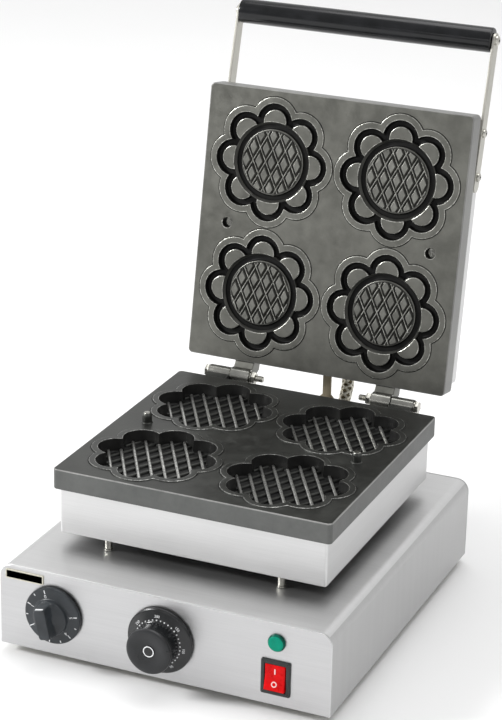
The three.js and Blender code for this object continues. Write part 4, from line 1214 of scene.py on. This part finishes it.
def make_thermostat_knob():
    centre = middle("thermostat_knob")
    place = facing_front(centre.x, centre.z)
    shape = Shape()
    profile = [(0, 1), (27.8, 1), (28.4, 1.3), (28.6, 2.0), (28.6, 3.0), (28.2, 3.8), (27.4, 4.3),
               (26.4, 4.6), (21.2, 6.4), (19.4, 7.2), (18.5, 8.0), (18.35, 9.0), (19.0, 16), (19.75, 22.6),
               (19.75, 23.6), (19.3, 24.5), (18.3, 25.1), (16.8, 25.35), (14.4, 25.3), (11.5, 24.8),
               (8.6, 24.1), (6.2, 23.8), (5.6, 23.75), (5.4, 23.4), (0, 23.4)]
    shape.turn(profile, place, 120, [0] * 13 + [1] * 11)
    shape.turn([(0, 23.3), (5.1, 23.3), (5.1, 23.9), (4.9, 24.1), (0, 24.1)], place, 60)
    marks = Shape()
    marks.turn([(3.9, 24.0), (4.75, 24.0), (4.75, 24.2), (3.9, 24.2)], place, 60, closed=True)
    first, step = math.radians(-53.4), math.radians(50.4)
    for i, text in enumerate(("250", "200", "150", "100", "50", "300")):
        angle = first + i * step
        add_text(marks, text, 3.1, on_dial(place, angle, 22.6, 6.05) @ Matrix.Rotation(-0.3, 4, "X"))
    for k in range(-5, 21):
        spot = on_dial(place, first + k * step / 5, 19.8, 6.85)
        marks.turn([(0, -0.4), (0.62, -0.4), (0.62, 0.35), (0.45, 0.5), (0, 0.5)], spot, 14)
    shape.piece("knob_thermostat", "thermostat", "thermostat_plastic", (BLACK_PLASTIC, CAP_PLASTIC),
                ("thermostat_knob",))
    marks.piece("marks_thermostat", "thermostat", "thermostat_plastic", WHITE_INK)


def make_switch():
    centre = middle("switch_body")
    place = facing_front(centre.x, centre.z)
    outer = rounded_rectangle(0, 0, 25.5, 31, 1.6)
    well = rounded_rectangle(0, 0, 18.5, 23.6, 0.8)
    levels = [(outer, 0.1), (outer, 0.9), (inset(outer, 0.35), 1.5), (inset(outer, 1.1), 1.95),
              (inset(outer, 1.9), 2.15), (inset(well, -0.7), 2.2), (inset(well, -0.2), 2.0), (well, 1.6),
              (well, -9.5)]
    shape = Shape()
    shape.stack(levels, place)
    shape.piece("switch_bezel", "base", "switch_housing", SWITCH_PLASTIC, ("switch_body",))


def make_rocker():
    """Rocker with two shallow dished faces, its upper half pressed in, and its two marks."""
    centre = middle("switch_body")
    rest = math.radians(-7)
    pivot_y = JOINTS["rocker_tip"]["pos_m"][1] * 1000
    place = (Matrix.Translation((centre.x, pivot_y, centre.z)) @ Matrix.Rotation(rest, 4, "X")
             @ AXES["front"])
    face = pivot_y - FRONT
    half_w, half_h, steps = 8.75, 11.0, 24

    def reach(v):
        """Height of the two dished faces, which meet in a soft middle and stand proud at the ends."""
        return face + 2.55 + 1.35 * (abs(v) / half_h) ** 1.35

    shape = Shape()
    columns = [-half_w, -half_w + 0.25, -half_w + 0.8, 0, half_w - 0.8, half_w - 0.25, half_w]
    drop = [0.9, 0.3, 0.0, 0.0, 0.0, 0.3, 0.9]
    rows = [-half_h + 2 * half_h * i / steps for i in range(steps + 1)]
    top, under = [], []
    for i, v in enumerate(rows):
        sink = 0.5 if i in (0, steps) else 0
        top.append(shape.add_ring([(u, v, reach(v) - d - sink) for u, d in zip(columns, drop)], place))
        bottom = face - 3.2 + 0.3 * (1 - abs(v) / half_h)
        under.append(shape.add_ring([(u, v, bottom) for u in columns], place))
    for grid in (top, under):
        for one, two in zip(grid, grid[1:]):
            for i in range(len(columns) - 1):
                shape.add_face((one[i], one[i + 1], two[i + 1], two[i]))
    for i in range(steps):
        for edge in (0, -1):
            shape.add_face((top[i][edge], top[i + 1][edge], under[i + 1][edge], under[i][edge]))
    for end in (0, -1):
        for i in range(len(columns) - 1):
            shape.add_face((top[end][i], top[end][i + 1], under[end][i + 1], under[end][i]))
    shape.piece("rocker_paddle", "rocker", "rocker_red", RED, ("rocker",))
    marks = Shape()
    lift = reach(5.6)
    lean = math.atan((reach(7) - reach(4)) / 3)
    upper = place @ Matrix.Translation((0, 5.4, lift)) @ Matrix.Rotation(lean, 4, "X")
    lower = place @ Matrix.Translation((0, -5.4, lift)) @ Matrix.Rotation(-lean, 4, "X")
    marks.prism(rounded_rectangle(0, 0, 1.1, 5.0, 0.5, 4), -0.5, 0.2, upper, 0.08, 1)
    marks.turn([(1.5, -0.5), (2.45, -0.5), (2.45, 0.15), (2.3, 0.25), (1.65, 0.25), (1.5, 0.15)], lower, 40,
               closed=True)
    marks.piece("marks_rocker", "rocker", "rocker_red", PALE_INK)


def make_lamp():
    centre = middle("lamp_lens")
    place = facing_front(centre.x, centre.z)
    shape = Shape()
    profile = [(0, 0.3), (7.3, 0.3), (7.5, 0.6), (7.5, 1.3), (7.1, 2.2), (6.5, 3.0), (6.1, 3.3), (5.2, 3.45),
               (3.5, 3.6), (1.8, 3.68), (0, 3.7)]
    shape.turn(profile, place, 64, [1] * 5 + [0] * 5)
    shape.piece("lamp_cap", "base", "lamp_green", (GREEN, GREEN_RIM), ("lamp_lens",))


def make_cable_gland():
    """Ribbed inlet gland with a locknut on the rear panel."""
    centre = middle("cable_gland")
    place = Matrix.Translation((centre.x, BACK, centre.z)) @ Matrix.Rotation(-math.pi / 2, 4, "X")
    shape = Shape()
    shape.prism(hexagon(0, 0, 19), 0.3, 4.6, place, edge=0.7)
    # radius, height and depth of the ribs
    levels = [(7.4, 4.4, 0), (8.6, 4.6, 0), (8.6, 5.2, 0.45), (8.1, 9.8, 0.45), (7.7, 11.6, 0.25),
              (7, 13.2, 0), (5.4, 14, 0), (4.2, 13.6, 0), (4, 12, 0), (4, 4.4, 0)]
    rings = [polar_ring(lambda a: r + rib * (0.5 + 0.5 * math.cos(12 * a)) ** 3, height, 72)
             for r, height, rib in levels]
    loops = shape.loft(rings, place, start=False, end=False)
    shape.bridge(loops[-1], loops[0])
    shape.piece("inlet_gland", "base", "control_housing", DARK_PLASTIC, ("cable_gland",))


# ---- CAD nodes that are shown as they are ---------------------------------------------------

KEPT = {
    "rear_panel": STEEL_FRONT, "bottom_plate": ZINC, "lower_clamp_plate": ZINC, "lid_clamp_plate": ZINC,
    "timer_shaft": ZINC, "thermostat_shaft": ZINC, "handle_rod": ZINC, "lower_heater": SHEATH,
    "lid_heater": SHEATH, "lid_insulation": WOOL, "timer_body": DARK_PLASTIC, "lamp_body": DARK_PLASTIC,
    "thermostat_body": CERAMIC, "terminal_block": CERAMIC, "thermostat_bulb": BRASS,
}


def dress_kept_nodes():
    looks = dict(KEPT)
    looks.update({n: ZINC for n in frame["nodes"] if n.startswith("foot_screw")})
    for node, look in looks.items():
        piece = frame["nodes"][node]
        piece.data.materials.clear()
        piece.data.materials.append(look)
        bevel = piece.modifiers.new("edges", "BEVEL")
        bevel.width = 0.0003
        bevel.segments = 2
        bevel.limit_method = "ANGLE"
        bevel.angle_limit = math.radians(40)


# ---- everything -----------------------------------------------------------------------------

for make in (make_base_shell, make_front_panel, make_feet, make_posts, make_badge, make_lower_housing,
             make_lower_plate, make_guide_pins, make_hinge_bolts, make_lid_stop, make_conduit, make_glands,
             make_lid_plate, make_lid_cover, make_handle, make_timer_knob, make_thermostat_knob, make_switch,
             make_rocker, make_lamp, make_cable_gland, dress_kept_nodes):
    make()

# ---- floor and light ------------------------------------------------------------------------


def make_floor():
    look = Look("floor", roughness=0.6)
    cloud = look.noise(2, detail=2.0)
    look.colour(look.mix(look.spread(cloud, 0.3, 0.7), grey(0.86), grey(0.88)))
    data = bpy.data.meshes.new("floor")
    half = 14
    corners = [(-half, -half, 0), (half, -half, 0), (half, half, 0), (-half, half, 0)]
    data.from_pydata(corners, [], [(0, 1, 2, 3)])
    floor = bpy.data.objects.new("floor", data)
    bpy.context.scene.collection.objects.link(floor)
    data.materials.append(look.material)


def area_light(name, place, target, size, power):
    data = bpy.data.lights.new(name, "AREA")
    data.shape = "RECTANGLE"
    data.size, data.size_y = size
    data.energy = power
    light = bpy.data.objects.new(name, data)
    light.location = place
    light.rotation_euler = (Vector(target) - Vector(place)).to_track_quat("-Z", "Y").to_euler()
    bpy.context.scene.collection.objects.link(light)


def make_light():
    """Pale room, brighter behind the object than in front of it, with soft boxes round it."""
    world = bpy.data.worlds.new("studio")
    world.use_nodes = True
    tree = world.node_tree
    direction = tree.nodes.new("ShaderNodeTexCoord").outputs["Generated"]
    towards = tree.nodes.new("ShaderNodeVectorMath")
    towards.operation = "DOT_PRODUCT"
    towards.inputs[1].default_value = (-0.45, 0.85, 0)
    tree.links.new(direction, towards.inputs[0])
    spread = tree.nodes.new("ShaderNodeMapRange")
    for key, number in (("From Min", -0.9), ("From Max", 0.5), ("To Min", 0.36), ("To Max", 0.92)):
        spread.inputs[key].default_value = number
    tree.links.new(towards.outputs["Value"], spread.inputs["Value"])
    tree.links.new(spread.outputs["Result"], tree.nodes["Background"].inputs["Strength"])
    tree.nodes["Background"].inputs["Color"].default_value = (1, 1, 1, 1)
    bpy.context.scene.world = world
    area_light("key", (-2.4, -1.5, 1.7), (0, 0, 0.2), (0.7, 0.7), 85)
    area_light("fill", (2.4, -0.9, 1.3), (0, 0, 0.2), (1.4, 1.4), 6)
    area_light("top", (0.2, 0.6, 2.8), (0, 0, 0.1), (2.4, 1.6), 34)
    area_light("strip", (0.5, -2.6, 0.9), (0, 0, 0.25), (3.0, 0.35), 6)


make_floor()
make_light()
bpy.context.scene.view_settings.view_transform = "Standard"
